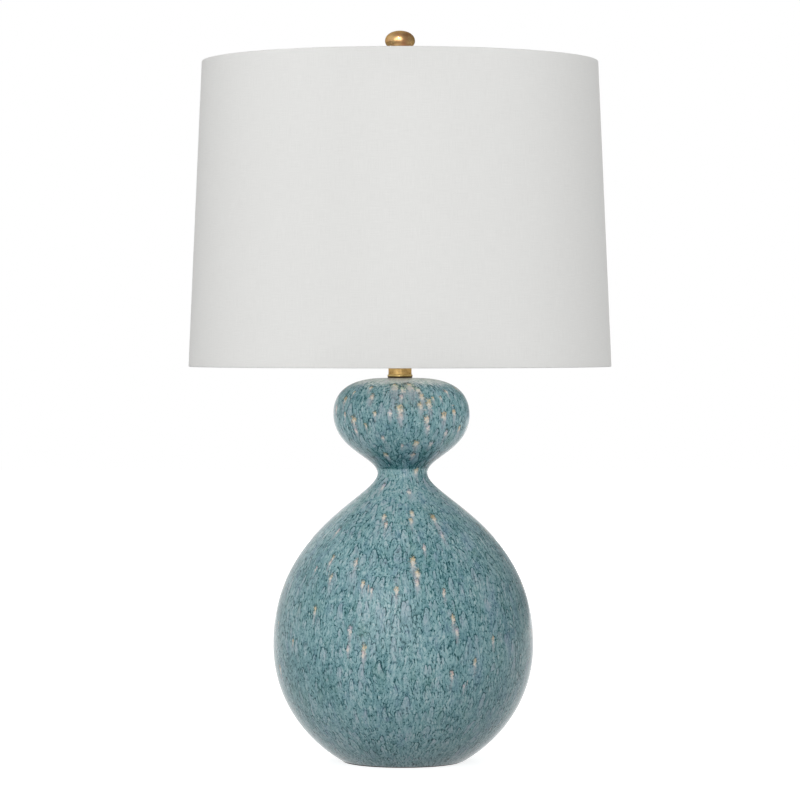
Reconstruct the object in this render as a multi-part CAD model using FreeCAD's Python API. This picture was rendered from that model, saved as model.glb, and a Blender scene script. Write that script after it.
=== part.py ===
import FreeCAD, Part
import math
import os

# Double gourd table lamp, in millimetres, +Z up.
# The origin is the centre of the felt pad's underside, on the axis of the shade and the rod.

# Vessel, outside
felt_thickness = 1.2
foot_radius = 63.2
foot_slope_deg = 30.4
foot_handle = 39.0
belly_radius = 133.1
belly_height = 120.4
belly_handle_below = 59.7
belly_handle_above = 118.8
waist_radius = 25.5
waist_height = 295.0
waist_handle_below = 23.8
waist_handle_above = 16.4
bulb_top_radius = 69.7
bulb_top_height = 355.5
bulb_top_handle_below = 37.1
bulb_top_handle_above = 36.5
vessel_height = 392.4
seat_radius = 16.0
seat_handle = 12.1
# The vessel stands this far to the right of the rod, as the photograph shows it
vessel_shift_x = 2.6

# Vessel, inside
wall = 5.5
recess_radius = 50.0
recess_depth = 16.8
floor_thickness = 6.0
floor_hole_radius = 18.0
top_hole_radius = 6.0
felt_margin = 2.0

# Hollow threaded rod and what clamps the vessel
rod_radius = 4.85
rod_bore_radius = 3.4
rod_below_nut = 3.5
rod_above_cap_boss = 2.5
thread_clearance = 0.05
base_plate_radius = 34.0
base_plate_thickness = 2.0
lock_washer_radius = 8.0
lock_washer_thickness = 1.5
lock_washer_slit = 0.8
nut_across_flats = 16.0
bottom_nut_height = 5.0
lock_nut_height = 3.5

# Cord bushing through the foot, at the rear
bushing_height = 8.2
bushing_bore_radius = 3.0
bushing_radius = 4.3
bushing_clearance = 0.1
bushing_flange_radius = 5.6
bushing_flange_thickness = 1.6
bushing_flange_gap = 0.3
bushing_inner_end = 2.0

# Brass neck
gasket_radius = 12.6
gasket_thickness = 0.7
neck_ring_radius = 12.95
neck_ring_height = 3.0
neck_ring_rounding = 1.2
neck_radius = 11.8
neck_length = 42.0
neck_wall = 0.8
neck_lid = 1.2

# Harp saddle and harp
saddle_thickness = 1.6
saddle_width = 13.0
saddle_half_flat = 13.0
harp_half_span = 29.0
saddle_rise = 14.0
tongue_width = 6.0
tongue_length = 16.0
harp_height = 253.0
harp_wire_radius = 1.9
harp_half_bulge = 57.0
harp_bend_deg = 50.0
harp_shoulder_radius = 44.0
harp_pad_radius = 8.0
harp_pad_thickness = 2.4
end_width = 9.0
end_depth = 5.0
end_corner = 1.2
end_length = 24.0
end_slot_clearance = 0.25
end_wire_depth = 6.0
end_wire_clearance = 0.05
sleeve_length = 12.0
sleeve_wall = 0.8
sleeve_clearance = 0.3
sleeve_gap = 0.4

# Swivel stud on top of the harp
stud_radius = 3.175
stud_length = 12.0
spindle_radius = 2.5
spindle_clearance = 0.08
stud_flange_radius = 7.0
stud_flange_thickness = 2.5
stud_head_radius = 4.5
stud_head_thickness = 1.5
stud_end_play = 0.1
stud_chamfer = 0.8

# Socket
cap_boss_radius = 8.0
cap_boss_height = 5.0
cap_dome_height = 8.0
cap_dome_pull = 6.0
cap_skirt_height = 5.0
cap_wall = 0.8
set_screw_radius = 1.5
set_screw_proud = 1.0
screw_slot_width = 0.7
shell_radius = 18.9
shell_wall = 0.5
shell_height = 47.5
shell_lip = 0.8
socket_fit = 0.15
liner_wall = 0.6
liner_below_lip = 1.0
body_clearance = 0.3
body_height = 17.0
body_flat = 12.0
body_disc_height = 2.5
body_chamfer = 4.0
body_above_rod = 1.0
terminal_radius = 3.0
terminal_head = 2.2
terminal_height = 9.0
screw_shell_radius = 13.2
screw_shell_wall = 0.5
screw_shell_height = 21.0
screw_shell_hole = 7.0
contact_radius = 3.5
contact_flange = 1.5
contact_height = 2.2
lug_thickness = 1.0

# Turn switch, on the front of the socket
switch_height = 12.5
switch_spindle_radius = 1.6
switch_spindle_clearance = 0.1
switch_spindle_depth = 9.0
switch_hole_radius = 2.4
switch_reach = 8.0
knob_length = 13.0
knob_radius = 6.0
knob_flutes = 10
knob_flute_radius = 0.9
knob_grip = 8.0
knob_smooth_length = 3.0

# Light bulb
bulb_gap = 0.4
tip_radius = 4.5
tip_height = 1.2
tip_face_radius = 2.7
insulator_height = 5.0
insulator_margin = 1.0
insulator_top_radius = 11.4
bulb_cap_radius = 12.9
bulb_cap_height = 20.0
bulb_cap_wall = 0.4
bulb_cap_bevel = 1.5
bulb_neck_radius = 12.3
bulb_globe_radius = 30.0
bulb_length = 108.0
bulb_glass_wall = 0.8
bulb_neck_sunk = 9.0
bulb_neck_straight = 3.0
bulb_shoulder_handle = 16.0
bulb_globe_handle = 18.0
mount_radius = 4.0
mount_flare_radius = 9.0
mount_height = 38.0
mount_rim = 1.0
mount_gap = 0.1
mount_flare_height = 13.0
mount_flare_handle = 5.0
lead_radius = 0.4
lead_height = 16.0
filament_half_width = 11.0
filament_radius = 0.7
filament_overhang = 1.0

# Shade
shade_height = 311.1
shade_bottom_radius = 216.0
shade_top_radius = 202.2
linen_thickness = 0.6
linen_gap = 0.05
backing_thickness = 0.8
shade_ring_radius = 1.6
shade_ring_play = 0.05
linen_tuck = 7.0
rim_rounding = 0.5
spider_drop = 6.6
hub_radius = 10.0
hub_thickness = 3.4
hub_clearance = 0.25
arm_radius = 1.5
arm_slit_gap = 0.2
arm_level_length = 24.0
arm_inner_length = 30.0
arm_bend_radius = 12.0
arm_angles = {"rear": 90.0, "left": 210.0, "right": 330.0}

# Finial
insert_radius = 4.6
insert_clearance = 0.06
insert_start = 0.4
insert_length = 10.0
collar_flange_radius = 7.0
collar_flange_thickness = 1.6
collar_waist_radius = 5.8
collar_cup_radius = 8.2
collar_cup_height = 2.6
collar_flare_height = 3.0
collar_flare_handle = 2.0
collar_stem_handle = 2.0
collar_foot_handle = 1.0
collar_bore_spare = 0.5
collar_height = 18.0
collar_cup_rim = 1.2
egg_radius = 15.35
egg_below = 10.0
egg_above = 10.55
egg_roundness_below = 0.55
egg_roundness_above = 0.58

# How far a cutting tool runs past the face that it cuts
overshoot = 1.0
# Handle of a quarter circle's curve, as a share of its radius
quarter_circle_handle = 0.5523

# Levels, from the table up
recess_top = felt_thickness + recess_depth
floor_top = recess_top + floor_thickness
base_plate_bottom = recess_top - base_plate_thickness
lock_washer_bottom = base_plate_bottom - lock_washer_thickness
bottom_nut_bottom = lock_washer_bottom - bottom_nut_height
rod_bottom = bottom_nut_bottom - rod_below_nut
neck_ring_bottom = vessel_height + gasket_thickness
neck_bottom = neck_ring_bottom + neck_ring_height
neck_top = neck_bottom + neck_length
saddle_top = neck_top + saddle_thickness
shoulder_level = neck_top + saddle_rise
cap_bottom = saddle_top + lock_nut_height
cap_skirt_bottom = cap_bottom + cap_boss_height + cap_dome_height
cap_top = cap_skirt_bottom + cap_skirt_height
rod_top = cap_bottom + cap_boss_height + rod_above_cap_boss
body_bottom = rod_top + body_above_rod
body_top = body_bottom + body_height
screw_shell_bottom = body_top
shell_bottom = cap_skirt_bottom + cap_wall + socket_fit
switch_level = body_bottom + switch_height
liner_radius = shell_radius - shell_wall - socket_fit
body_radius = liner_radius - liner_wall - body_clearance
bulb_bottom = screw_shell_bottom + contact_height + bulb_gap
harp_seat = shoulder_level + harp_height
hub_top = harp_seat + hub_thickness
shade_top = hub_top + spider_drop
shade_bottom = shade_top - shade_height
egg_centre = hub_top + collar_height + egg_below


def point(radius, height):
    return FreeCAD.Vector(radius, 0, height)


def face_between(*steps):
    """Face in the XZ plane. A step is a corner, or three poles that end a curve."""
    edges = []
    last = steps[0]
    for step in steps[1:] + (steps[0],):
        if isinstance(step[0], tuple):
            curve = Part.BezierCurve()
            curve.setPoles([point(*last)] + [point(*pole) for pole in step])
            edges.append(curve.toShape())
            last = step[-1]
        elif step != last:
            edges.append(Part.makeLine(point(*last), point(*step)))
            last = step
    return Part.Face(Part.Wire(edges))


def lathe(*steps):
    return face_between(*steps).revolve(FreeCAD.Vector(), FreeCAD.Vector(0, 0, 1), 360)


def cylinder(radius, bottom, height):
    return Part.makeCylinder(radius, height, FreeCAD.Vector(0, 0, bottom))


def through_cylinder(radius, bottom, height):
    """Cutting cylinder that runs past both faces."""
    return cylinder(radius, bottom - overshoot, height + 2 * overshoot)


def tube(outer_radius, inner_radius, bottom, height):
    return cylinder(outer_radius, bottom, height).cut(through_cylinder(inner_radius, bottom, height))


def rod_between(start, end, radius):
    return Part.makeCylinder(radius, start.distanceToPoint(end), start, end - start)


def hex_nut(bottom, height):
    corner_radius = nut_across_flats / math.sqrt(3)
    corners = []
    for side in range(7):
        angle = math.radians(60 * side)
        across = corner_radius * math.cos(angle)
        along = corner_radius * math.sin(angle)
        corners.append(FreeCAD.Vector(across, along, bottom))
    prism = Part.Face(Part.makePolygon(corners)).extrude(FreeCAD.Vector(0, 0, height))
    return prism.cut(through_cylinder(rod_radius + thread_clearance, bottom, height))


def moved(shape, x=0.0, y=0.0, z=0.0):
    copy = shape.copy()
    copy.translate(FreeCAD.Vector(x, y, z))
    return copy


def turned(shape, degrees):
    copy = shape.copy()
    copy.rotate(FreeCAD.Vector(), FreeCAD.Vector(0, 0, 1), degrees)
    return copy


def bent_wire(corners, bend_radii, radius):
    """Round wire along straight runs joined by tangent arcs."""
    edges = []
    start = corners[0]
    for index, bend_radius in enumerate(bend_radii, 1):
        corner = corners[index]
        towards = (corners[index - 1] - corner).normalize()
        away = (corners[index + 1] - corner).normalize()
        half_angle = towards.getAngle(away) / 2
        reach = bend_radius / math.tan(half_angle)
        first = corner + towards * reach
        last = corner + away * reach
        middle_reach = bend_radius / math.sin(half_angle) - bend_radius
        middle = corner + (towards + away).normalize() * middle_reach
        if start.distanceToPoint(first) > 0.001:
            edges.append(Part.makeLine(start, first))
        edges.append(Part.Arc(first, middle, last).toShape())
        start = last
    edges.append(Part.makeLine(start, corners[-1]))
    section = Part.Wire(Part.Circle(corners[0], corners[1] - corners[0], radius).toShape())
    return Part.Wire(edges).makePipeShell([section], True, False)


# Vessel


def foot_curve():
    """Outside of the lower gourd, from the foot up to the belly."""
    slope = math.radians(foot_slope_deg)
    curve = Part.BezierCurve()
    curve.setPoles([point(foot_radius, felt_thickness),
                    point(foot_radius + foot_handle * math.cos(slope),
                          felt_thickness + foot_handle * math.sin(slope)),
                    point(belly_radius, belly_height - belly_handle_below),
                    point(belly_radius, belly_height)])
    return curve


def foot_parameter(height):
    """Place along the foot curve at a height between the foot and the belly."""
    curve = foot_curve()
    low = 0.0
    high = 1.0
    for _ in range(40):
        middle = (low + high) / 2
        if curve.value(middle).z < height:
            low = middle
        else:
            high = middle
    return low


def outer_radius_at(height):
    return foot_curve().value(foot_parameter(height)).x


def inner_foot_poles():
    """Poles of the cavity's wall from the floor to the belly, a wall inside the foot curve."""
    curve = foot_curve()
    curve.segment(foot_parameter(floor_top), 1.0)
    poles = curve.getPoles()
    along = (poles[1] - poles[0]).normalize()
    inward = FreeCAD.Vector(-along.z, 0, along.x) * wall
    sideways = FreeCAD.Vector(-wall, 0, 0)
    shifted = [poles[0] + inward, poles[1] + inward, poles[2] + sideways, poles[3] + sideways]
    return [(pole.x, pole.z) for pole in shifted]


def gourd_curves(inset):
    """Belly, waist and upper bulb from the first belly station up, drawn in by the inset."""
    belly = belly_radius - inset
    waist = waist_radius - inset
    bulb = bulb_top_radius - inset
    belly_to_waist = ((belly, belly_height + belly_handle_above),
                      (waist, waist_height - waist_handle_below),
                      (waist, waist_height))
    waist_to_bulb = ((waist, waist_height + waist_handle_above),
                     (bulb, bulb_top_height - bulb_top_handle_below),
                     (bulb, bulb_top_height))
    handle_above = bulb_top_handle_above * (1 - inset / (vessel_height - bulb_top_height))
    bulb_to_seat = ((bulb, bulb_top_height + handle_above),
                    (seat_radius + seat_handle, vessel_height - inset),
                    (seat_radius, vessel_height - inset))
    return belly_to_waist, waist_to_bulb, bulb_to_seat


def make_vessel():
    foot_to_belly = tuple((pole.x, pole.z) for pole in foot_curve().getPoles()[1:])
    outside = lathe((0, recess_top), (recess_radius, recess_top), (recess_radius, felt_thickness),
                    (foot_radius, felt_thickness), foot_to_belly, *gourd_curves(0), (0, vessel_height))
    wall_start, *inner_wall = inner_foot_poles()
    fillet_start = wall_start[0] - (wall_start[1] - floor_top)
    inside = lathe((0, floor_top), (fillet_start, floor_top), wall_start, tuple(inner_wall),
                   *gourd_curves(wall), (0, vessel_height - wall))
    vessel = moved(outside.cut(inside), x=vessel_shift_x)
    vessel = vessel.cut(through_cylinder(floor_hole_radius, recess_top, floor_thickness))
    vessel = vessel.cut(through_cylinder(top_hole_radius, vessel_height - wall, wall))
    hole_start = FreeCAD.Vector(vessel_shift_x, recess_radius - bushing_inner_end, bushing_height)
    hole = Part.makeCylinder(bushing_radius + bushing_clearance, belly_radius, hole_start,
                             FreeCAD.Vector(0, 1, 0))
    return vessel.cut(hole)


def make_felt_pad():
    return moved(cylinder(foot_radius - felt_margin, 0, felt_thickness), x=vessel_shift_x)


def make_cord_bushing():
    """Flanged tube whose flange just clears the sloping foot and hides the edge of the hole."""
    flange_inner = outer_radius_at(bushing_height + bushing_flange_radius) + bushing_flange_gap
    flange_outer = flange_inner + bushing_flange_thickness
    tube_start = recess_radius - bushing_inner_end
    axis = FreeCAD.Vector(0, 1, 0)
    body = Part.makeCylinder(bushing_radius, flange_outer - tube_start,
                             FreeCAD.Vector(vessel_shift_x, tube_start, bushing_height), axis)
    flange = Part.makeCylinder(bushing_flange_radius, bushing_flange_thickness,
                               FreeCAD.Vector(vessel_shift_x, flange_inner, bushing_height), axis)
    bore = Part.makeCylinder(bushing_bore_radius, flange_outer - tube_start + 2 * overshoot,
                             FreeCAD.Vector(vessel_shift_x, tube_start - overshoot, bushing_height), axis)
    return body.fuse(flange).cut(bore).removeSplitter()


# Rod and clamping pieces


def make_base_plate():
    return tube(base_plate_radius, rod_radius + thread_clearance, base_plate_bottom, base_plate_thickness)


def make_lock_washer():
    """Split spring washer, shown flattened by the nut."""
    washer = tube(lock_washer_radius, rod_radius + thread_clearance, lock_washer_bottom,
                  lock_washer_thickness)
    slit = Part.makeBox(lock_washer_radius, lock_washer_slit, lock_washer_thickness + 2 * overshoot,
                        FreeCAD.Vector(0, -lock_washer_slit / 2, lock_washer_bottom - overshoot))
    return washer.cut(slit)


def make_lamp_rod():
    return tube(rod_radius, rod_bore_radius, rod_bottom, rod_top - rod_bottom)


# Neck


def make_neck_ring():
    ring = tube(neck_ring_radius, rod_radius + thread_clearance, neck_ring_bottom, neck_ring_height)
    rims = [edge for edge in ring.Edges if edge.BoundBox.XLength > 1.9 * neck_ring_radius]
    return ring.makeFillet(neck_ring_rounding, rims)


def make_neck_tube():
    """Spun brass tube, closed at the top by its own lid."""
    inner = neck_radius - neck_wall
    hole = rod_radius + thread_clearance
    return lathe((inner, neck_bottom), (neck_radius, neck_bottom), (neck_radius, neck_top), (hole, neck_top),
                 (hole, neck_top - neck_lid), (inner, neck_top - neck_lid))


# Harp saddle, harp and sleeves


def make_harp_saddle():
    """Flat strap over the neck, bent up on both sides into shouldered tongues."""
    slope_run = harp_half_span - saddle_half_flat
    slope_length = math.hypot(slope_run, saddle_rise)
    lift = saddle_thickness * slope_length / slope_run
    tongue_inner = harp_half_span - saddle_thickness / 2
    tongue_outer = harp_half_span + saddle_thickness / 2
    tongue_top = shoulder_level + tongue_length
    half = [(0, neck_top), (saddle_half_flat, neck_top),
            (tongue_outer, shoulder_level - saddle_thickness), (tongue_outer, tongue_top),
            (tongue_inner, tongue_top), (tongue_inner, shoulder_level - saddle_thickness + lift / 2),
            (saddle_half_flat, saddle_top), (0, saddle_top)]
    corners = [point(*corner) for corner in half + [half[0]]]
    side = Part.Face(Part.makePolygon(corners)).extrude(FreeCAD.Vector(0, saddle_width, 0))
    side = moved(side, y=-saddle_width / 2)
    notch_width = (saddle_width - tongue_width) / 2
    for edge_y in (-saddle_width / 2, tongue_width / 2):
        notch = Part.makeBox(harp_half_span, notch_width, tongue_length + overshoot,
                             FreeCAD.Vector(saddle_half_flat, edge_y, shoulder_level))
        side = side.cut(notch)
    strap = side.fuse(turned(side, 180)).removeSplitter()
    return strap.cut(through_cylinder(rod_radius + thread_clearance, neck_top, saddle_thickness))


def make_harp_end(side):
    """Stamped socket that slips over a tongue and grips the wire above it."""
    bottom = shoulder_level + sleeve_gap
    block = Part.makeBox(end_depth, end_width, end_length,
                         FreeCAD.Vector(harp_half_span - end_depth / 2, -end_width / 2, bottom))
    uprights = [edge for edge in block.Edges if edge.BoundBox.ZLength > end_length / 2]
    block = block.makeFillet(end_corner, uprights)
    slot_x = saddle_thickness + 2 * end_slot_clearance
    slot_y = tongue_width + 2 * end_slot_clearance
    slot = Part.makeBox(slot_x, slot_y, tongue_length + overshoot,
                        FreeCAD.Vector(harp_half_span - slot_x / 2, -slot_y / 2, bottom - overshoot))
    wire_hole = cylinder(harp_wire_radius + end_wire_clearance, bottom + end_length - end_wire_depth,
                         end_wire_depth + overshoot)
    socket = block.cut(slot).cut(moved(wire_hole, x=harp_half_span))
    return turned(socket, 180) if side < 0 else socket


def make_harp_wire():
    """One spring wire from end socket to end socket, with a pierced flat pad at the middle."""
    foot_level = shoulder_level + sleeve_gap + end_length - end_wire_depth
    pad_top = harp_seat - stud_flange_thickness - stud_end_play
    wire_level = pad_top - harp_pad_thickness / 2
    bend = math.radians(harp_bend_deg)
    outward = harp_half_bulge - harp_half_span
    bend_radius = outward / (2 * (1 - math.cos(bend)))
    first_corner = shoulder_level + end_length + sleeve_length + bend_radius * math.tan(bend / 2)
    second_corner = first_corner + outward / math.tan(bend)
    right = [FreeCAD.Vector(harp_half_span, 0, foot_level),
             FreeCAD.Vector(harp_half_span, 0, first_corner),
             FreeCAD.Vector(harp_half_bulge, 0, second_corner),
             FreeCAD.Vector(harp_half_bulge, 0, wire_level)]
    left = [FreeCAD.Vector(-corner.x, 0, corner.z) for corner in reversed(right)]
    radii = [bend_radius, bend_radius, harp_shoulder_radius]
    wire = bent_wire(right + left, radii + radii[::-1], harp_wire_radius)
    pad = cylinder(harp_pad_radius, pad_top - harp_pad_thickness, harp_pad_thickness)
    flattened = Part.makeBox(4 * harp_pad_radius, 2 * harp_pad_radius, harp_wire_radius,
                             FreeCAD.Vector(-2 * harp_pad_radius, -harp_pad_radius, pad_top))
    underside = moved(flattened, z=-harp_pad_thickness - harp_wire_radius)
    hole = through_cylinder(spindle_radius + spindle_clearance, pad_top - harp_pad_thickness,
                            harp_pad_thickness)
    return wire.cut(flattened).cut(underside).fuse(pad).removeSplitter().cut(hole)


def make_harp_sleeve(side):
    end_reach = math.hypot(end_width / 2 - end_corner, end_depth / 2 - end_corner) + end_corner
    inner = end_reach + sleeve_clearance
    sleeve = tube(inner + sleeve_wall, inner, shoulder_level + sleeve_gap, sleeve_length)
    return moved(sleeve, x=side * harp_half_span)


def make_harp_stud():
    """Swivel stud: flange above the pad, spindle through it, riveted head below it."""
    pad_top = harp_seat - stud_flange_thickness - stud_end_play
    head_top = pad_top - harp_pad_thickness - stud_end_play
    return lathe((0, head_top - stud_head_thickness), (stud_head_radius, head_top - stud_head_thickness),
                 (stud_head_radius, head_top), (spindle_radius, head_top),
                 (spindle_radius, harp_seat - stud_flange_thickness),
                 (stud_flange_radius, harp_seat - stud_flange_thickness), (stud_flange_radius, harp_seat),
                 (stud_radius, harp_seat), (stud_radius, harp_seat + stud_length - stud_chamfer),
                 (stud_radius - stud_chamfer, harp_seat + stud_length), (0, harp_seat + stud_length))


# Socket


def make_socket_cap():
    """Spun brass cap, threaded on the rod, with a skirt that takes the shell."""
    hole = rod_radius + thread_clearance
    boss_top = cap_bottom + cap_boss_height
    skirt_outer = shell_radius + socket_fit + cap_wall
    skirt_inner = shell_radius + socket_fit
    half_dome = cap_dome_height / 2
    outer_dome = ((cap_boss_radius + cap_dome_pull, boss_top), (skirt_outer, boss_top + half_dome),
                  (skirt_outer, cap_skirt_bottom))
    inner_dome = ((skirt_inner, boss_top + half_dome + cap_wall),
                  (cap_boss_radius + cap_dome_pull, boss_top + cap_wall),
                  (cap_boss_radius, boss_top + cap_wall))
    return lathe((hole, cap_bottom), (cap_boss_radius, cap_bottom), (cap_boss_radius, boss_top), outer_dome,
                 (skirt_outer, cap_top), (skirt_inner, cap_top), (skirt_inner, cap_skirt_bottom + cap_wall),
                 inner_dome, (hole, boss_top + cap_wall))


def set_screw_axis():
    level = cap_bottom + cap_boss_height / 2
    return (FreeCAD.Vector(0, rod_radius + thread_clearance, level),
            FreeCAD.Vector(0, cap_boss_radius + set_screw_proud, level))


def make_set_screw():
    start, end = set_screw_axis()
    screw = rod_between(start, end, set_screw_radius)
    slot_corner = FreeCAD.Vector(-screw_slot_width / 2, end.y - set_screw_proud / 2, end.z - set_screw_radius)
    slot = Part.makeBox(screw_slot_width, set_screw_proud, 2 * set_screw_radius, slot_corner)
    return screw.cut(slot)


def switch_hole(radius):
    return Part.makeCylinder(radius, shell_radius * 2, FreeCAD.Vector(0, 0, switch_level),
                             FreeCAD.Vector(0, -1, 0))


def make_socket_shell():
    inner = shell_radius - shell_wall
    top = shell_bottom + shell_height
    shell = lathe((inner, shell_bottom), (shell_radius, shell_bottom), (shell_radius, top - 2 * shell_lip),
                  (shell_radius + shell_lip, top - shell_lip), (shell_radius + shell_lip, top), (inner, top))
    return shell.cut(switch_hole(switch_hole_radius))


def make_socket_liner():
    liner = tube(liner_radius, liner_radius - liner_wall, shell_bottom, shell_height - liner_below_lip)
    return liner.cut(switch_hole(switch_hole_radius))


def make_socket_body():
    """Moulded switch block with flats for the terminals and a disc that carries the screw shell."""
    block = lathe((0, body_bottom), (body_radius - body_chamfer, body_bottom),
                  (body_radius, body_bottom + body_chamfer), (body_radius, body_top), (0, body_top))
    cut_height = body_height - body_disc_height
    for side in (-1, 1):
        low_x = body_flat if side > 0 else -body_flat - body_radius
        flat = Part.makeBox(body_radius, 2 * body_radius, cut_height,
                            FreeCAD.Vector(low_x, -body_radius, body_bottom))
        block = block.cut(flat)
    spindle_end = switch_spindle_depth - body_radius
    bore = Part.makeCylinder(switch_spindle_radius + switch_spindle_clearance, 2 * body_radius,
                             FreeCAD.Vector(0, spindle_end, switch_level), FreeCAD.Vector(0, -1, 0))
    return block.cut(bore)


def make_terminal_screws():
    level = body_bottom + terminal_height
    screws = []
    for side in (-1, 1):
        start = FreeCAD.Vector(side * body_flat, 0, level)
        end = FreeCAD.Vector(side * (body_flat + terminal_head), 0, level)
        head = rod_between(start, end, terminal_radius)
        slot = Part.makeBox(terminal_head, screw_slot_width, 2 * terminal_radius,
                            FreeCAD.Vector(end.x - terminal_head / 2, -screw_slot_width / 2,
                                           level - terminal_radius))
        screws.append(head.cut(slot))
    return Part.makeCompound(screws)


def make_screw_shell():
    inner = screw_shell_radius
    outer = inner + screw_shell_wall
    floor = screw_shell_bottom + screw_shell_wall
    top = screw_shell_bottom + screw_shell_height
    return lathe((screw_shell_hole, screw_shell_bottom), (outer, screw_shell_bottom), (outer, top),
                 (inner, top), (inner, floor), (screw_shell_hole, floor))


def make_centre_contact():
    """Sprung brass tongue, riveted to the block below the bulb's tip."""
    dome = ((contact_radius, screw_shell_bottom + contact_height),
            (contact_radius / 2, screw_shell_bottom + contact_height),
            (0, screw_shell_bottom + contact_height))
    return lathe((0, screw_shell_bottom), (contact_radius + contact_flange, screw_shell_bottom),
                 (contact_radius + contact_flange, screw_shell_bottom + lug_thickness),
                 (contact_radius, screw_shell_bottom + lug_thickness), dome)


# Turn switch


def spindle_start():
    return switch_spindle_depth - body_radius


def knob_face():
    return -shell_radius - switch_reach


def make_switch_spindle():
    start = FreeCAD.Vector(0, spindle_start(), switch_level)
    end = FreeCAD.Vector(0, knob_face() - knob_grip, switch_level)
    return rod_between(start, end, switch_spindle_radius)


def make_switch_knob():
    """Fluted black knob pressed on the spindle."""
    front = FreeCAD.Vector(0, knob_face(), switch_level)
    back = FreeCAD.Vector(0, knob_face() - knob_length, switch_level)
    knob = rod_between(front, back, knob_radius)
    knob = knob.cut(rod_between(front, front + FreeCAD.Vector(0, -knob_grip, 0), switch_spindle_radius))
    for flute in range(knob_flutes):
        angle = 2 * math.pi * flute / knob_flutes
        across = FreeCAD.Vector(knob_radius * math.cos(angle), 0, knob_radius * math.sin(angle))
        groove_end = back + FreeCAD.Vector(0, knob_length - knob_smooth_length, 0)
        knob = knob.cut(rod_between(back + across, groove_end + across, knob_flute_radius))
    return knob


# Light bulb


def make_bulb_tip():
    top = bulb_bottom + tip_height
    return lathe((0, bulb_bottom), (tip_face_radius, bulb_bottom), (tip_radius, bulb_bottom + tip_height / 2),
                 (tip_radius, top), (0, top))


def make_bulb_insulator():
    start = bulb_bottom + tip_height
    top = start + insulator_height
    return lathe((0, start), (tip_radius + insulator_margin, start), (insulator_top_radius, top), (0, top))


def bulb_cap_bottom():
    return bulb_bottom + tip_height + insulator_height


def make_bulb_cap():
    inner = bulb_cap_radius - bulb_cap_wall
    bottom = bulb_cap_bottom()
    top = bottom + bulb_cap_height
    return lathe((0, bottom), (insulator_top_radius, bottom), (bulb_cap_radius, bottom + bulb_cap_bevel),
                 (bulb_cap_radius, top), (inner, top), (inner, bottom + bulb_cap_bevel + bulb_cap_wall),
                 (insulator_top_radius, bottom + bulb_cap_wall), (0, bottom + bulb_cap_wall))


def bulb_outline(inset):
    """Neck, shoulder and globe of the glass, drawn in by the inset."""
    bottom = bulb_cap_bottom() + bulb_cap_height - bulb_neck_sunk
    top = bulb_bottom + bulb_length - inset
    globe_centre = bulb_bottom + bulb_length - bulb_globe_radius
    neck = bulb_neck_radius - inset
    globe = bulb_globe_radius - inset
    neck_end = bottom + bulb_neck_sunk + bulb_neck_straight
    shoulder = ((neck, neck_end + bulb_shoulder_handle), (globe, globe_centre - bulb_globe_handle),
                (globe, globe_centre))
    crown = ((globe, globe_centre + globe * quarter_circle_handle), (globe * quarter_circle_handle, top),
             (0, top))
    return (0, bottom), (neck, bottom), (neck, neck_end), shoulder, crown


def make_bulb_glass():
    return lathe(*bulb_outline(0)).cut(lathe(*bulb_outline(bulb_glass_wall)))


def mount_bottom():
    return bulb_cap_bottom() + bulb_cap_height - bulb_neck_sunk


def make_bulb_mount():
    """Glass stem inside the bulb: a flare at the neck and a solid pillar above it."""
    bottom = mount_bottom()
    top = bottom + mount_height
    rim_top = bottom + mount_rim
    flare = ((mount_flare_radius, rim_top + mount_flare_handle), (mount_radius, rim_top + mount_flare_handle),
             (mount_radius, rim_top + mount_flare_height))
    edge = bulb_neck_radius - bulb_glass_wall - mount_gap
    return lathe((0, bottom), (edge, bottom), (edge, rim_top), (mount_flare_radius, rim_top), flare,
                 (mount_radius, top), (0, top))


def make_bulb_filament():
    """Two lead wires that lean outwards and the fine coil between their tips."""
    base = mount_bottom() + mount_height
    top = base + lead_height
    pieces = []
    for side in (-1, 1):
        foot = FreeCAD.Vector(side * mount_radius / 2, 0, base)
        tip = FreeCAD.Vector(side * filament_half_width, 0, top)
        pieces.append(rod_between(foot, tip, lead_radius))
    coil_start = FreeCAD.Vector(-filament_half_width - filament_overhang, 0, top)
    coil_end = FreeCAD.Vector(filament_half_width + filament_overhang, 0, top)
    coil = rod_between(coil_start, coil_end, filament_radius)
    return coil.fuse(pieces).removeSplitter()


# Shade


def shade_radius(height, depth=0.0):
    """Radius of the shade's wall at a height, at a depth measured inwards from its outside."""
    share = (height - shade_bottom) / shade_height
    return shade_bottom_radius + (shade_top_radius - shade_bottom_radius) * share - depth


def ring_depth():
    """Depth of a ring wire's centre below the shade's outside."""
    return linen_thickness + linen_gap + backing_thickness + shade_ring_play + shade_ring_radius


def ring_level(side):
    edge = shade_top if side > 0 else shade_bottom
    return edge - side * (linen_thickness + shade_ring_play + shade_ring_radius)


def make_shade_ring(side):
    level = ring_level(side)
    return Part.makeTorus(shade_radius(level, ring_depth()), shade_ring_radius, FreeCAD.Vector(0, 0, level))


def shade_band(low, high, outside, inside):
    """Ring of the shade's wall between two heights and two depths."""
    return lathe((shade_radius(low, outside), low), (shade_radius(high, outside), high),
                 (shade_radius(high, inside), high), (shade_radius(low, inside), low))


def make_shade_backing():
    outside = linen_thickness + linen_gap
    return shade_band(shade_bottom + outside, shade_top - outside, outside, outside + backing_thickness)


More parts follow.
